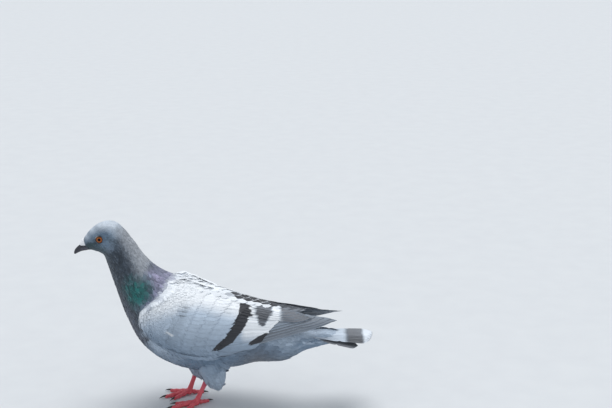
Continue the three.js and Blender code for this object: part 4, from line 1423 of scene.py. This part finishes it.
# where the coat ends under a wing, at the face and on a wing, where vanes take its place
coatEdges = dict(lower=(10, 15), upper=(2, 6), fore=4, rear=(-66, -54), lid=(-0.2, 0.1), mouth=(0.1, 0.35),
                 mouthEnd=(137, 136), face=(-0.1, -0.4), vanes=(14, 22), part=(0.4, 0.6))


# How much of a point lies under a wing, where no feathers are needed.
def underWing(points):
    x, z = points[..., 0], points[..., 2]
    at, _ = wingFrame(x)
    end = skinShape["wingEnd"]
    above = smoothStep(*coatEdges["lower"], z - at["lowerZ"])
    inside = above * smoothStep(*coatEdges["upper"], at["upperZ"] - z)
    return inside * smoothStep(end + coatEdges["fore"], end, x) * smoothStep(*coatEdges["rear"], x)


# Leaves the eyes, the bill's root and the line of the mouth bare.
def bareFace(points):
    x, z = points[..., 0], points[..., 2]
    eyeGap = np.hypot(x - eyeShape["x"], (z - eyeShape["z"]) / eyeShape["high"])
    eyeGap = np.where(np.abs(points[..., 1]) > 4, eyeGap, 99)
    keep = smoothStep(*(eyeShape["lid"] + edge for edge in coatEdges["lid"]), eyeGap)
    mouth = np.abs(z - mouthLine["z"] - mouthLine["rise"] * (mouthLine["x"] - x))
    mouth = mouth + 3 * smoothStep(*coatEdges["mouthEnd"], x)
    ahead = x - np.interp(z, faceLine["z"], faceLine["x"])
    return keep * smoothStep(*coatEdges["mouth"], mouth) * smoothStep(*coatEdges["face"], ahead)


feathers = {
    "face": makeFeather("faceFeather", 3, 2, 0.36, 0.0, cup=0.03, curl=-0.03, roundFrom=0.3),
    "crown": makeFeather("crownFeather", 4, 2, 0.4, 0.0, cup=0.04, curl=-0.03, roundFrom=0.35),
    "neck": makeFeather("neckFeather", 4, 4, 0.5, 0.07, cup=0.06, curl=-0.04),
    "body": makeFeather("bodyFeather", 4, 4, 0.6, 0.05, cup=0.05, curl=-0.04),
    "wing": makeFeather("wingFeather", 4, 4, 0.62, 0.02, cup=0.015, curl=-0.01),
    "loose": makeFeather("looseFeather", 4, 6, 0.55, 0.1, cup=0.06, curl=-0.04),
}
wingCoat = dict(slot="plumage_wing", feather="wing", spacing=1.0, longer=1.1, lift=0.02, stray=0.06,
                rise=0.15)
# Each piece of the coat covers a stretch of places along the body, a wing or the thighs.
coats = {
    "coatFace": dict(stretch=(12.4, 99), slot="plumage_head", feather="face", spacing=0.28, longer=0.95,
                     lift=0.05, stray=0.14, rise=0.12),
    "coatCrown": dict(stretch=(10.9, 12.5), slot="plumage_head", feather="crown", spacing=0.46, longer=1.0,
                      lift=0.05, stray=0.14, rise=0.15),
    "coatNeck": dict(stretch=(9.0, 11.0), slot="plumage_neck", feather="neck", spacing=0.82, longer=1.0,
                     lift=0.06, stray=0.18, rise=0.25),
    "coatBreast": dict(stretch=(7.2, 9.1), feather="neck", spacing=1.1, longer=1.0, lift=0.05, stray=0.15,
                       rise=0.3),
    "coatBody": dict(stretch=(4.5, 7.3), feather="body", spacing=1.3, longer=1.0, lift=0.04, stray=0.13,
                     rise=0.3),
    "coatRump": dict(stretch=(0.6, 4.6), feather="loose", spacing=1.45, longer=1.0, lift=0.03, stray=0.12,
                     rise=0.3),
    "coatWingLeft": dict(wing=1, **wingCoat),
    "coatWingRight": dict(wing=-1, **wingCoat),
    "coatThighs": dict(slot="plumage_thigh", feather="loose", spacing=0.95, longer=1.15, lift=0.06,
                       stray=0.26, rise=0.3),
}


def makeCoat():
    points = pointsOf(skin.data)
    place, wing, thigh = vectorsOf(skin.data, "parts").T
    place = place + 0.12 * np.sin(points[:, 0] * 0.9 + points[:, 1] * 1.3) * np.sin(points[:, 2] * 1.1)
    low, high = coatEdges["part"]
    bare = bareFace(points) * (1 - underWing(points))
    bare = bare * smoothStep(high, low, wing) * smoothStep(high, low, thigh)
    for seed, (name, coat) in enumerate(coats.items()):
        if "stretch" in coat:
            start, end = coat["stretch"]
            dense = ((place >= start) & (place < end)) * bare
        elif "wing" in coat:
            dense = smoothStep(low, high, wing) * (points[:, 1] * coat["wing"] > 0)
            dense = dense * smoothStep(*coatEdges["vanes"], points[:, 0])
        else:
            dense = smoothStep(low, high, thigh)
        growCoat(name, dense, coat, seed)
    for prototype in feathers.values():
        bpy.data.objects.remove(prototype)
    for extra in ("lie", "featherLength", "parts"):
        skin.data.attributes.remove(skin.data.attributes[extra])


makeCoat()


# A piece welded into one shell, listed in pieces with the name of one of the record's slots.
def finishShell(patch, name, material, slotName):
    piece = addObject(patch.mesh(name), material)
    weld(piece.data)
    pieces.append((piece, slotName))
    return piece


# Eyes
eyeInks = dict(pupil=ink(1, 1, 1), inner=ink(182, 104, 52), outer=ink(96, 46, 24), rim=ink(18, 12, 11))
# where the rings of the iris start and end, as shares of the lids' opening
irisRings = dict(outer=(0.5, 0.85), halo=(0.52, 0.38, 0.0, 0.5), pupil=(0.38, 0.34), rim=(0.76, 0.9))
irisGrain = dict(scale=2600.0, flecks=0.9, rays=46, rayShare=0.06)
eyeShade = dict(corner=(-2.2, -3.6), brow=(1.6, 3.2), browShare=0.8)  # from the middle, in millimetres


def eyeMaterial():
    material, tree = newMaterial("eyeGlass")
    around, out = split(tree, addNode(tree, "ShaderNodeUVMap", uv_map="iris").outputs[0])[:2]
    place = objectPlace(tree)
    axes = split(tree, place)
    corner = ranged(tree, axes["X"], *((eyeShape["x"] + edge) * mm for edge in eyeShade["corner"]))
    brow = ranged(tree, axes["Z"], *((eyeShape["z"] + edge) * mm for edge in eyeShade["brow"]))
    shaded = mathNode(tree, "MAXIMUM", corner, times(tree, brow, eyeShade["browShare"]))
    flecks = noise(tree, place, irisGrain["scale"], 3.0)
    flecks = timesPlus(tree, flecks, irisGrain["flecks"], -irisGrain["flecks"] / 2)
    rays = mathNode(tree, "SINE", times(tree, around, fullTurn * irisGrain["rays"]))
    mixed = plus(tree, ranged(tree, out, *irisRings["outer"]), flecks)
    mixed = timesPlus(tree, rays, irisGrain["rayShare"], mixed, clamp=True)
    colour = mixColours(tree, mixed, eyeInks["inner"], eyeInks["outer"])
    for ring, over in (("halo", "rim"), ("pupil", "pupil"), ("rim", "rim")):
        colour = mixColours(tree, ranged(tree, out, *irisRings[ring]), colour, eyeInks[over])
    finishMaterial(tree, {
        "Base Color": mixColours(tree, shaded, colour, eyeInks["rim"]),
        "Roughness": 0.3,
        "Specular IOR Level": 0.1,
        "Coat Weight": 0.12,
        "Coat Roughness": 0.03,
    })
    return material


def makeEyes(material):
    rows, columns = 40, 64
    reach, turn = ballAngles(rows, columns)
    cornea = eyeShape["cornea"] * np.exp(-(reach / eyeShape["corneaReach"]) ** 2)
    radius = eyeShape["radius"] * (1 + cornea)
    x = eyeShape["x"] + radius * np.sin(reach) * np.cos(turn)
    z = eyeShape["z"] + radius * np.sin(reach) * np.sin(turn)
    # the map's height is 1 where the lids' opening meets the ball
    share = np.sin(np.minimum(reach, math.pi / 2)) * eyeShape["radius"] / eyeShape["opening"]
    iris = np.stack([turn / fullTurn, share], -1)
    for name, side in (("left", 1), ("right", -1)):
        y = side * (eyeShape["y"] + radius * np.cos(reach))
        patch = Patchwork()
        patch.add(np.stack([x, y, z], -1), gridFaces(rows, columns + 1, flip=side < 0), iris=iris)
        eye = finishShell(patch, "eye" + name.title(), material, "eye")
        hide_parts("eye_" + name)


lidShape = dict(wide=0.58, thick=0.4, stand=0.14, pleats=26, pleatDepth=0.1, paleTurn=0.55,
                paleReach=0.6, flatter=0.05, widest=4.7)
lidInks = dict(dark=ink(34, 37, 42), light=ink(60, 64, 70), pale=ink(168, 164, 160))


def lidMaterial():
    material, tree = newMaterial("lidSkin")
    place = objectPlace(tree)
    colour = mixColours(tree, noise(tree, place, 500.0), lidInks["dark"], lidInks["light"])
    finishMaterial(tree, {
        "Base Color": mixColours(tree, attributeNode(tree, "pale")["Fac"], colour, lidInks["pale"]),
        "Roughness": 0.6,
        "Normal": bumped(tree, cellGrain(tree, place, 2200.0), 0.5, 0.0002),
    })
    return material


# The lids are one fine oval rim round each eye, pale at its front.
def makeLids(material):
    rows, columns = 90, 16
    turn, across = np.meshgrid(turns(rows + 1, rows), turns(columns, columns), indexing="ij")
    # the opening is lower than it is wide, and flatter above
    high = eyeShape["high"] - lidShape["flatter"] * np.maximum(0, np.sin(turn))
    edge = eyeShape["opening"] / np.hypot(np.cos(turn), np.sin(turn) / high)
    pleat = 1 + lidShape["pleatDepth"] * np.sin(turn * lidShape["pleats"]) * np.maximum(0, np.sin(across))
    ring = edge + lidShape["wide"] * (0.9 + np.cos(across))
    seat = np.sqrt(eyeShape["radius"] ** 2 - np.minimum(ring, lidShape["widest"]) ** 2)
    out = eyeShape["y"] + seat + lidShape["stand"] + lidShape["thick"] * pleat * np.sin(across)
    pale = np.exp(-((turn - lidShape["paleTurn"]) / lidShape["paleReach"]) ** 2)
    x = eyeShape["x"] + ring * np.cos(turn)
    z = eyeShape["z"] + ring * np.sin(turn)
    for name, side in (("Left", 1), ("Right", -1)):
        patch = Patchwork()
        patch.add(np.stack([x, side * out, z], -1), gridFaces(rows + 1, columns, closed=True), pale=pale)
        finishShell(patch, "lids" + name, material, "cere_skin")


makeEyes(eyeMaterial())
makeLids(lidMaterial())
print("eyes ready")


# Bill, cere and nostrils
billShape = {
    "upper": dict(top=((137.5, 174.2), (142.3, 173.8), (146.7, 171), (149.9, 168.4), (152.1, 165.8),
                       (153.2, 163.0), (153.1, 161.3)),
                  bottom=((135.5, 168.6), (140.7, 168), (145.7, 167.1), (149.1, 165.2), (151.2, 162.8),
                          (152.2, 161.4), (152.7, 160.8)),
                  half=(4.2, 4.1, 3.5, 2.8, 2.1, 1.3, 0.3)),
    "lower": dict(top=((135.5, 168.8), (140.7, 168.2), (145.8, 167.3), (149.3, 165.5), (152.5, 161.9)),
                  bottom=((134.5, 166.6), (139.9, 165.1), (144.7, 164.2), (147.9, 162.9), (152.2, 160.7)),
                  half=(3.6, 3.8, 3.15, 2.35, 0.6)),
}
# where the horn is paler: a painted highlight along the mouth near the face, and worn pale at the tip and all
# over below
hornWearAndHighlight = dict(z=167.9, x=141, rise=0.1, wide=0.5, lipHighlight=0.75, fades=(146.5, 144), tip=0.25, lower=0.15)
# how near the mouth's line each half lies, and how round its arch and its sides are
mandibleForm = dict(near=0.06, arch=0.9, sides=0.95, mouthSides=0.8, nostrilShare=0.5)
nostrilShape = dict(x=144.4, z=170.2, length=3.0, height=0.7, slope=0.12, deep=1.2)


def hornMaterial(name, dark, pale, scale, rough):
    material, tree = newMaterial(name)
    cloud = noise(tree, objectPlace(tree), scale, 5.0)
    # the pale share: worn horn, and on the bill a painted highlight along the mouth
    share = plus(tree, times(tree, cloud, 0.5), attributeNode(tree, "worn")["Fac"], clamp=True)
    finishMaterial(tree, {
        "Base Color": mixColours(tree, share, dark, pale),
        "Roughness": ranged(tree, cloud, 0.3, 0.7, rough, rough + 0.15),
        "Normal": bumped(tree, cloud, 0.25, 0.0001),
    })
    return material


# How far the horn is pressed in at the slit of a nostril.
def nostrilDepth(x, z):
    level, steep = math.cos(nostrilShape["slope"]), math.sin(nostrilShape["slope"])
    fore, above = x - nostrilShape["x"], z - nostrilShape["z"]
    u, v = fore * level - above * steep, fore * steep + above * level
    slit = (u / nostrilShape["length"]) ** 4 + (v / nostrilShape["height"]) ** 2
    return nostrilShape["deep"] * np.exp(-slit)


def makeMandible(name, node, shape, material, upper):
    rows, columns = 40, 44
    place = np.linspace(0, len(shape["half"]) - 1, rows)[:, None]
    angle = turns(columns, columns)[None, :]
    edges = [[curveAt([point[k] for point in shape[key]], place) for k in (0, 1)]
             for key in ("top", "bottom")]
    far, mouth = edges if upper else edges[::-1]
    # arched away from the mouth and flat along it, so that the two halves meet at their edges
    side = np.sin(angle)
    rise = np.cos(angle) if upper else -np.cos(angle)
    near = mandibleForm["near"]
    arch = np.where(rise > 0, np.abs(rise) ** mandibleForm["arch"], -near * np.abs(rise))
    share = near + (1 - near) * arch
    x = lerp(mouth[0], far[0], share)
    z = lerp(mouth[1], far[1], share)
    half = curveAt(shape["half"], place)
    power = np.where(rise > 0, mandibleForm["sides"], mandibleForm["mouthSides"])
    y = half * np.sign(side) * np.abs(side) ** power + 0 * x
    if upper:
        deepest = np.abs(y) * mandibleForm["nostrilShare"]
        y = y - np.sign(y) * np.minimum(nostrilDepth(x, z), deepest)
    # a painted highlight along the mouth's edge
    lipHighlight = (z - hornWearAndHighlight["z"] - hornWearAndHighlight["rise"] * (hornWearAndHighlight["x"] - x)) / hornWearAndHighlight["wide"]
    lipHighlight = hornWearAndHighlight["lipHighlight"] * np.exp(-(lipHighlight**2)) * smoothStep(*hornWearAndHighlight["fades"], x)
    tip = hornWearAndHighlight["tip"] * smoothStep(0.9, 1.0, place / place.max())
    worn = tip + lipHighlight + (0 if upper else hornWearAndHighlight["lower"])
    patch = Patchwork()
    patch.addTube(np.stack([x, y, z], -1), flip=True, worn=worn)
    piece = finishShell(patch, name, material, "bill_horn")
    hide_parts(node)


chalkInks = dict(low=ink(232, 233, 238), high=ink(252, 252, 253))


def chalkMaterial():
    material, tree = newMaterial("cereChalk")
    place = objectPlace(tree)
    cloud = noise(tree, place, 700.0, 5.0)
    height = plus(tree, cloud, times(tree, cellGrain(tree, place, 3000.0), 0.4))
    finishMaterial(tree, {
        "Base Color": mixColours(tree, ranged(tree, cloud, 0.35, 0.65), chalkInks["low"], chalkInks["high"]),
        "Roughness": 0.9,
        "Normal": bumped(tree, height, 0.5, 0.0002),
    })
    return material


# The cere: two plump lobes, each a rounded triangle with a corner at the top.
cereShape = dict(x=143.0, z=173.5, size=3.4, corner=0.5, y=1.75, lean=0.42, out=2.0, inward=1.5,
                 uneven=0.02)


def makeCere(material):
    rows, columns = 24, 48
    reach, turn = ballAngles(rows, columns)
    outline = cereShape["size"] + cereShape["corner"] * np.cos(3 * (turn - math.pi / 2))
    outline = outline * (1 + cereShape["uneven"] * np.sin(7 * turn + 5 * reach))
    x = cereShape["x"] + outline * np.sin(reach) * np.cos(turn)
    z = cereShape["z"] + outline * np.sin(reach) * np.sin(turn)
    plump = np.where(np.cos(reach) > 0, cereShape["out"], cereShape["inward"]) * np.cos(reach)
    out = cereShape["y"] - cereShape["lean"] * (z - cereShape["z"]) + plump
    patch = Patchwork()
    for side in (1, -1):
        patch.add(np.stack([x, side * out, z], -1), gridFaces(rows, columns + 1))
    piece = finishShell(patch, "cere", material, "cere_skin")
    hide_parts("cere")


hornDark = hornMaterial("billHorn", ink(25, 26, 34), ink(92, 94, 106), 320.0, 0.38)
makeMandible("billUpper", "bill_upper", billShape["upper"], hornDark, True)
makeMandible("billLower", "bill_lower", billShape["lower"], hornDark, False)
makeCere(chalkMaterial())
print("bill ready")


# Feet: tarsus and toes with raised scutes over them and pads under the toes
toes = {
    1: dict(turn=172, length=14, root=2.5, tip=1.7, claw=6),
    2: dict(turn=30, length=20, root=2.7, tip=1.8, claw=6.5),
    3: dict(turn=6, length=25, root=2.9, tip=1.9, claw=7),
    4: dict(turn=-36, length=20, root=2.7, tip=1.8, claw=6.5),
}
scaleFinish = dict(scutePitch=1.35, scuteRise=0.09, scuteTilt=0.3, plateEdge=6, creaseEdge=7,
                   cover=(0.0, 0.35), joints=3, padRise=0.14, cloud=260.0, cells=1100.0)
scaleInks = dict(red=ink(212, 60, 76), light=ink(240, 118, 126), high=ink(172, 88, 120),
                 crease=ink(122, 34, 46))
toeForm = dict(start=0.4, overlap=1.6, knobs=0.13, blunt=0.72, seat=0.86, arch=1.6, swell=2.2, sunk=0.05)
tarsusForm = dict(start=0.12, top=1.02, end=0.97, flat=0.16, sunk=0.05)
knuckleSize = (3.5, 3.5, 3.3)
clawForm = dict(start=0.5, overlap=1.0, bend=1.25, least=0.12, root=0.74, taper=1.25, low=0.3, high=1.05,
                drop=1.45, under=0.85, narrow=0.72, worn=0.25)
floorGap = 0.02  # the feet's lowest points, in millimetres over the floor


def scaleMaterial():
    material, tree = newMaterial("scaledSkin")
    place = objectPlace(tree)
    cloud = noise(tree, place, scaleFinish["cloud"], 4.0)
    colour = mixColours(tree, cloud, scaleInks["red"], scaleInks["light"])
    # the crease ink is painted shade in the creases between the scutes
    for name in ("high", "crease"):
        share = times(tree, attributeNode(tree, name)["Fac"], 0.6)
        colour = mixColours(tree, share, colour, scaleInks[name])
    edges = cellGrain(tree, place, scaleFinish["cells"], "DISTANCE_TO_EDGE")
    finishMaterial(tree, {
        "Base Color": colour,
        "Roughness": ranged(tree, cloud, 0.3, 0.7, 0.42, 0.6),
        "Normal": bumped(tree, ranged(tree, edges, 0.0, 0.25), 0.35, 0.00015),
    })
    return material


# Raised plates across the front of a limb: how high a point stands and how deep in a crease, where the colour
# is darkened as painted shade.
def scutes(along, front):
    step = along / scaleFinish["scutePitch"]
    part = step - np.floor(step)
    near = np.minimum(part, 1 - part)
    tilt = scaleFinish["scuteTilt"]
    plate = np.minimum(1, near * scaleFinish["plateEdge"]) * (1 - tilt + tilt * part)
    crease = 1 - np.minimum(1, near * scaleFinish["creaseEdge"])
    cover = smoothStep(*scaleFinish["cover"], front)
    return scaleFinish["scuteRise"] * plate * cover, crease * cover


# Points beside a line that runs out from the foot.
def fromFoot(foot, heading, reach, side, z):
    x = foot[0] + reach * math.cos(heading) - side * math.sin(heading)
    y = foot[1] + reach * math.sin(heading) + side * math.cos(heading)
    return np.stack([x, y, np.maximum(floorGap, z)], -1)


def addToe(patch, foot, heading, toe):
    rows, columns = 92, 26
    t = np.linspace(0, 1, rows)[:, None]
    angle = turns(columns, columns)[None, :]
    reach = toeForm["start"] + (toe["length"] + toeForm["overlap"]) * t
    joint = fullTurn * t * scaleFinish["joints"]
    radius = lerp(toe["root"], toe["tip"], t) * (1 + toeForm["knobs"] * np.cos(joint) ** 3)
    radius = radius * np.sqrt(1 - toeForm["blunt"] * smoothStep(0.9, 1.0, t) ** 2)
    middle = toe["root"] * toeForm["seat"] + (1 - t) ** 2 * toeForm["arch"] - (toe["root"] - toe["tip"]) * t
    rise, crease = scutes(reach, np.sin(angle))
    pad = scaleFinish["padRise"] * np.maximum(0, -np.sin(angle)) * np.cos(joint + 0.4)
    wide = radius * (1 + rise / toeForm["swell"] - toeForm["sunk"] + pad * 0.3)
    z = middle + (wide + rise * 0.5) * np.sin(angle)
    points = fromFoot(foot, heading, reach, wide * np.cos(angle), z)
    patch.addTube(points, crease=crease, high=0 * crease)


def addTarsus(patch, leg):
    rows, columns = 130, 30
    start = tarsusForm["start"]  # it starts a little above the hock, in the feathers
    hock, foot = np.array(leg["hock"], float), np.array([*leg["foot"], tarsusShape["height"]])
    line = [hock + (hock - foot) * start, lerp(hock, foot, 0.5), foot]
    radii = [tarsusShape["top"] * tarsusForm["top"], tarsusShape["middle"],
             tarsusShape["knuckle"] * tarsusForm["end"]]
    points, out, _ = limbPoints(line, radii, rows, columns)
    down = np.linspace(-start, 1, rows)[:, None]
    rise, crease = scutes(down * np.linalg.norm(foot - hock), out[..., 0])
    between = (smoothStep(0, 0.3, down) * smoothStep(1, 0.8, down))[..., None]
    squeeze = 1 - tarsusForm["flat"] * np.abs(out[..., 1:2]) * between
    centre = points.mean(1, keepdims=True)
    points = centre + (points - centre) * squeeze + out * (rise - tarsusForm["sunk"])[..., None]
    points[..., 2] = np.maximum(points[..., 2], floorGap)
    patch.addTube(points, crease=crease, high=smoothStep(0.45, 0.0, down) * np.ones_like(crease))


def addKnuckle(patch, leg):
    rows, columns = 22, 32
    reach, turn = ballAngles(rows, columns)
    ball = np.stack([np.sin(reach) * np.cos(turn), np.sin(reach) * np.sin(turn), -np.cos(reach)], -1)
    ball = ball * np.array(knuckleSize) + np.array([*leg["foot"], tarsusShape["height"]])
    ball[..., 2] = np.maximum(ball[..., 2], floorGap)
    patch.add(ball, gridFaces(rows, columns + 1), crease=0 * reach, high=0 * reach)


def addClaw(patch, foot, heading, toe):
    rows, columns = 22, 18
    t = np.linspace(0, 1, rows)[:, None]
    angle = turns(columns, columns)[None, :]
    bend = clawForm["bend"]
    bent = np.sin(t * bend) / math.sin(bend)
    reach = clawForm["start"] + toe["length"] + (toe["claw"] + clawForm["overlap"]) * bent
    radius = np.maximum(clawForm["least"], toe["tip"] * clawForm["root"] * (1 - t ** clawForm["taper"]))
    middle = clawForm["low"] + toe["tip"] * clawForm["high"] * np.cos(t * clawForm["drop"])
    z = middle + radius * np.sin(angle) * np.where(np.sin(angle) < 0, clawForm["under"], 1)
    points = fromFoot(foot, heading, reach, radius * clawForm["narrow"] * np.cos(angle), z)
    patch.addTube(points, worn=clawForm["worn"] * t * np.ones_like(angle))


def makeFeet(scaled, horn):
    for name, leg in legs.items():
        scaledPatch = Patchwork()
        hornPatch = Patchwork()
        addTarsus(scaledPatch, leg)
        addKnuckle(scaledPatch, leg)
        for toe in toes.values():
            heading = math.radians(leg["turned"] - leg["sign"] * toe["turn"])
            addToe(scaledPatch, leg["foot"], heading, toe)
            addClaw(hornPatch, leg["foot"], heading, toe)
        foot = addObject(scaledPatch.mesh("foot" + name.title()), scaled)
        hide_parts("tarsus_" + name, *["toe_%s_%d" % (name, k) for k in toes])
        pieces.append((foot, "scaled_skin"))
        nails = addObject(hornPatch.mesh("claws" + name.title()), horn)
        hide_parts(*["claw_%s_%d" % (name, k) for k in toes])
        pieces.append((nails, "claw_horn"))


makeFeet(scaleMaterial(), hornMaterial("clawHorn", ink(34, 32, 34), ink(92, 84, 82), 500.0, 0.35))
print("feet ready")


# Camera, soft light and floor
studio = dict(camera=(-85.4, 1186.2, 509.5), pitch=-14.0, lens=70.6, sky=0.66, sun=1.75, sunSpread=40,
              sunTowards=(0.08, 0.3, -1), skyColour=(0.88, 0.94, 1.0, 1), floorHalf=15000)
floorInks = dict(dark=ink(207, 209, 212), light=ink(215, 217, 219))


def makeStudio():
    cameraData = bpy.data.cameras.new("camera")
    cameraData.lens = studio["lens"]
    cameraData.sensor_width = 36
    cameraData.clip_start = 0.01
    camera = addToScene("camera", cameraData)
    camera.location = [v * mm for v in studio["camera"]]
    camera.rotation_euler = (math.radians(90 + studio["pitch"]), 0, math.radians(180))
    bpy.context.scene.camera = camera
    paper, tree = newMaterial("floorPaper")
    grain = noise(tree, objectPlace(tree), 30.0, 3.0)
    colour = mixColours(tree, grain, floorInks["dark"], floorInks["light"])
    finishMaterial(tree, {"Base Color": colour, "Roughness": 0.9})
    size = studio["floorHalf"]
    corners = [[-size, -size, 0], [size, -size, 0], [size, size, 0], [-size, size, 0]]
    floor = addObject(makeMesh("floor", corners, [[0, 1, 2, 3]]), paper)
    light = bpy.data.lights.new("softSky", "SUN")
    light.energy = studio["sun"]
    light.angle = math.radians(studio["sunSpread"])
    lamp = addToScene("softSky", light)
    lamp.rotation_euler = Vector(studio["sunTowards"]).to_track_quat("-Z", "Y").to_euler()
    bpy.context.scene.view_settings.view_transform = "Standard"
    world = bpy.data.worlds.new("world")
    bpy.context.scene.world = world
    world.use_nodes = True
    sky = world.node_tree.nodes["Background"].inputs
    sky["Color"].default_value = studio["skyColour"]
    sky["Strength"].default_value = studio["sky"]


makeStudio()

for piece, slotName in pieces:
    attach(piece, "root")

print("finished")
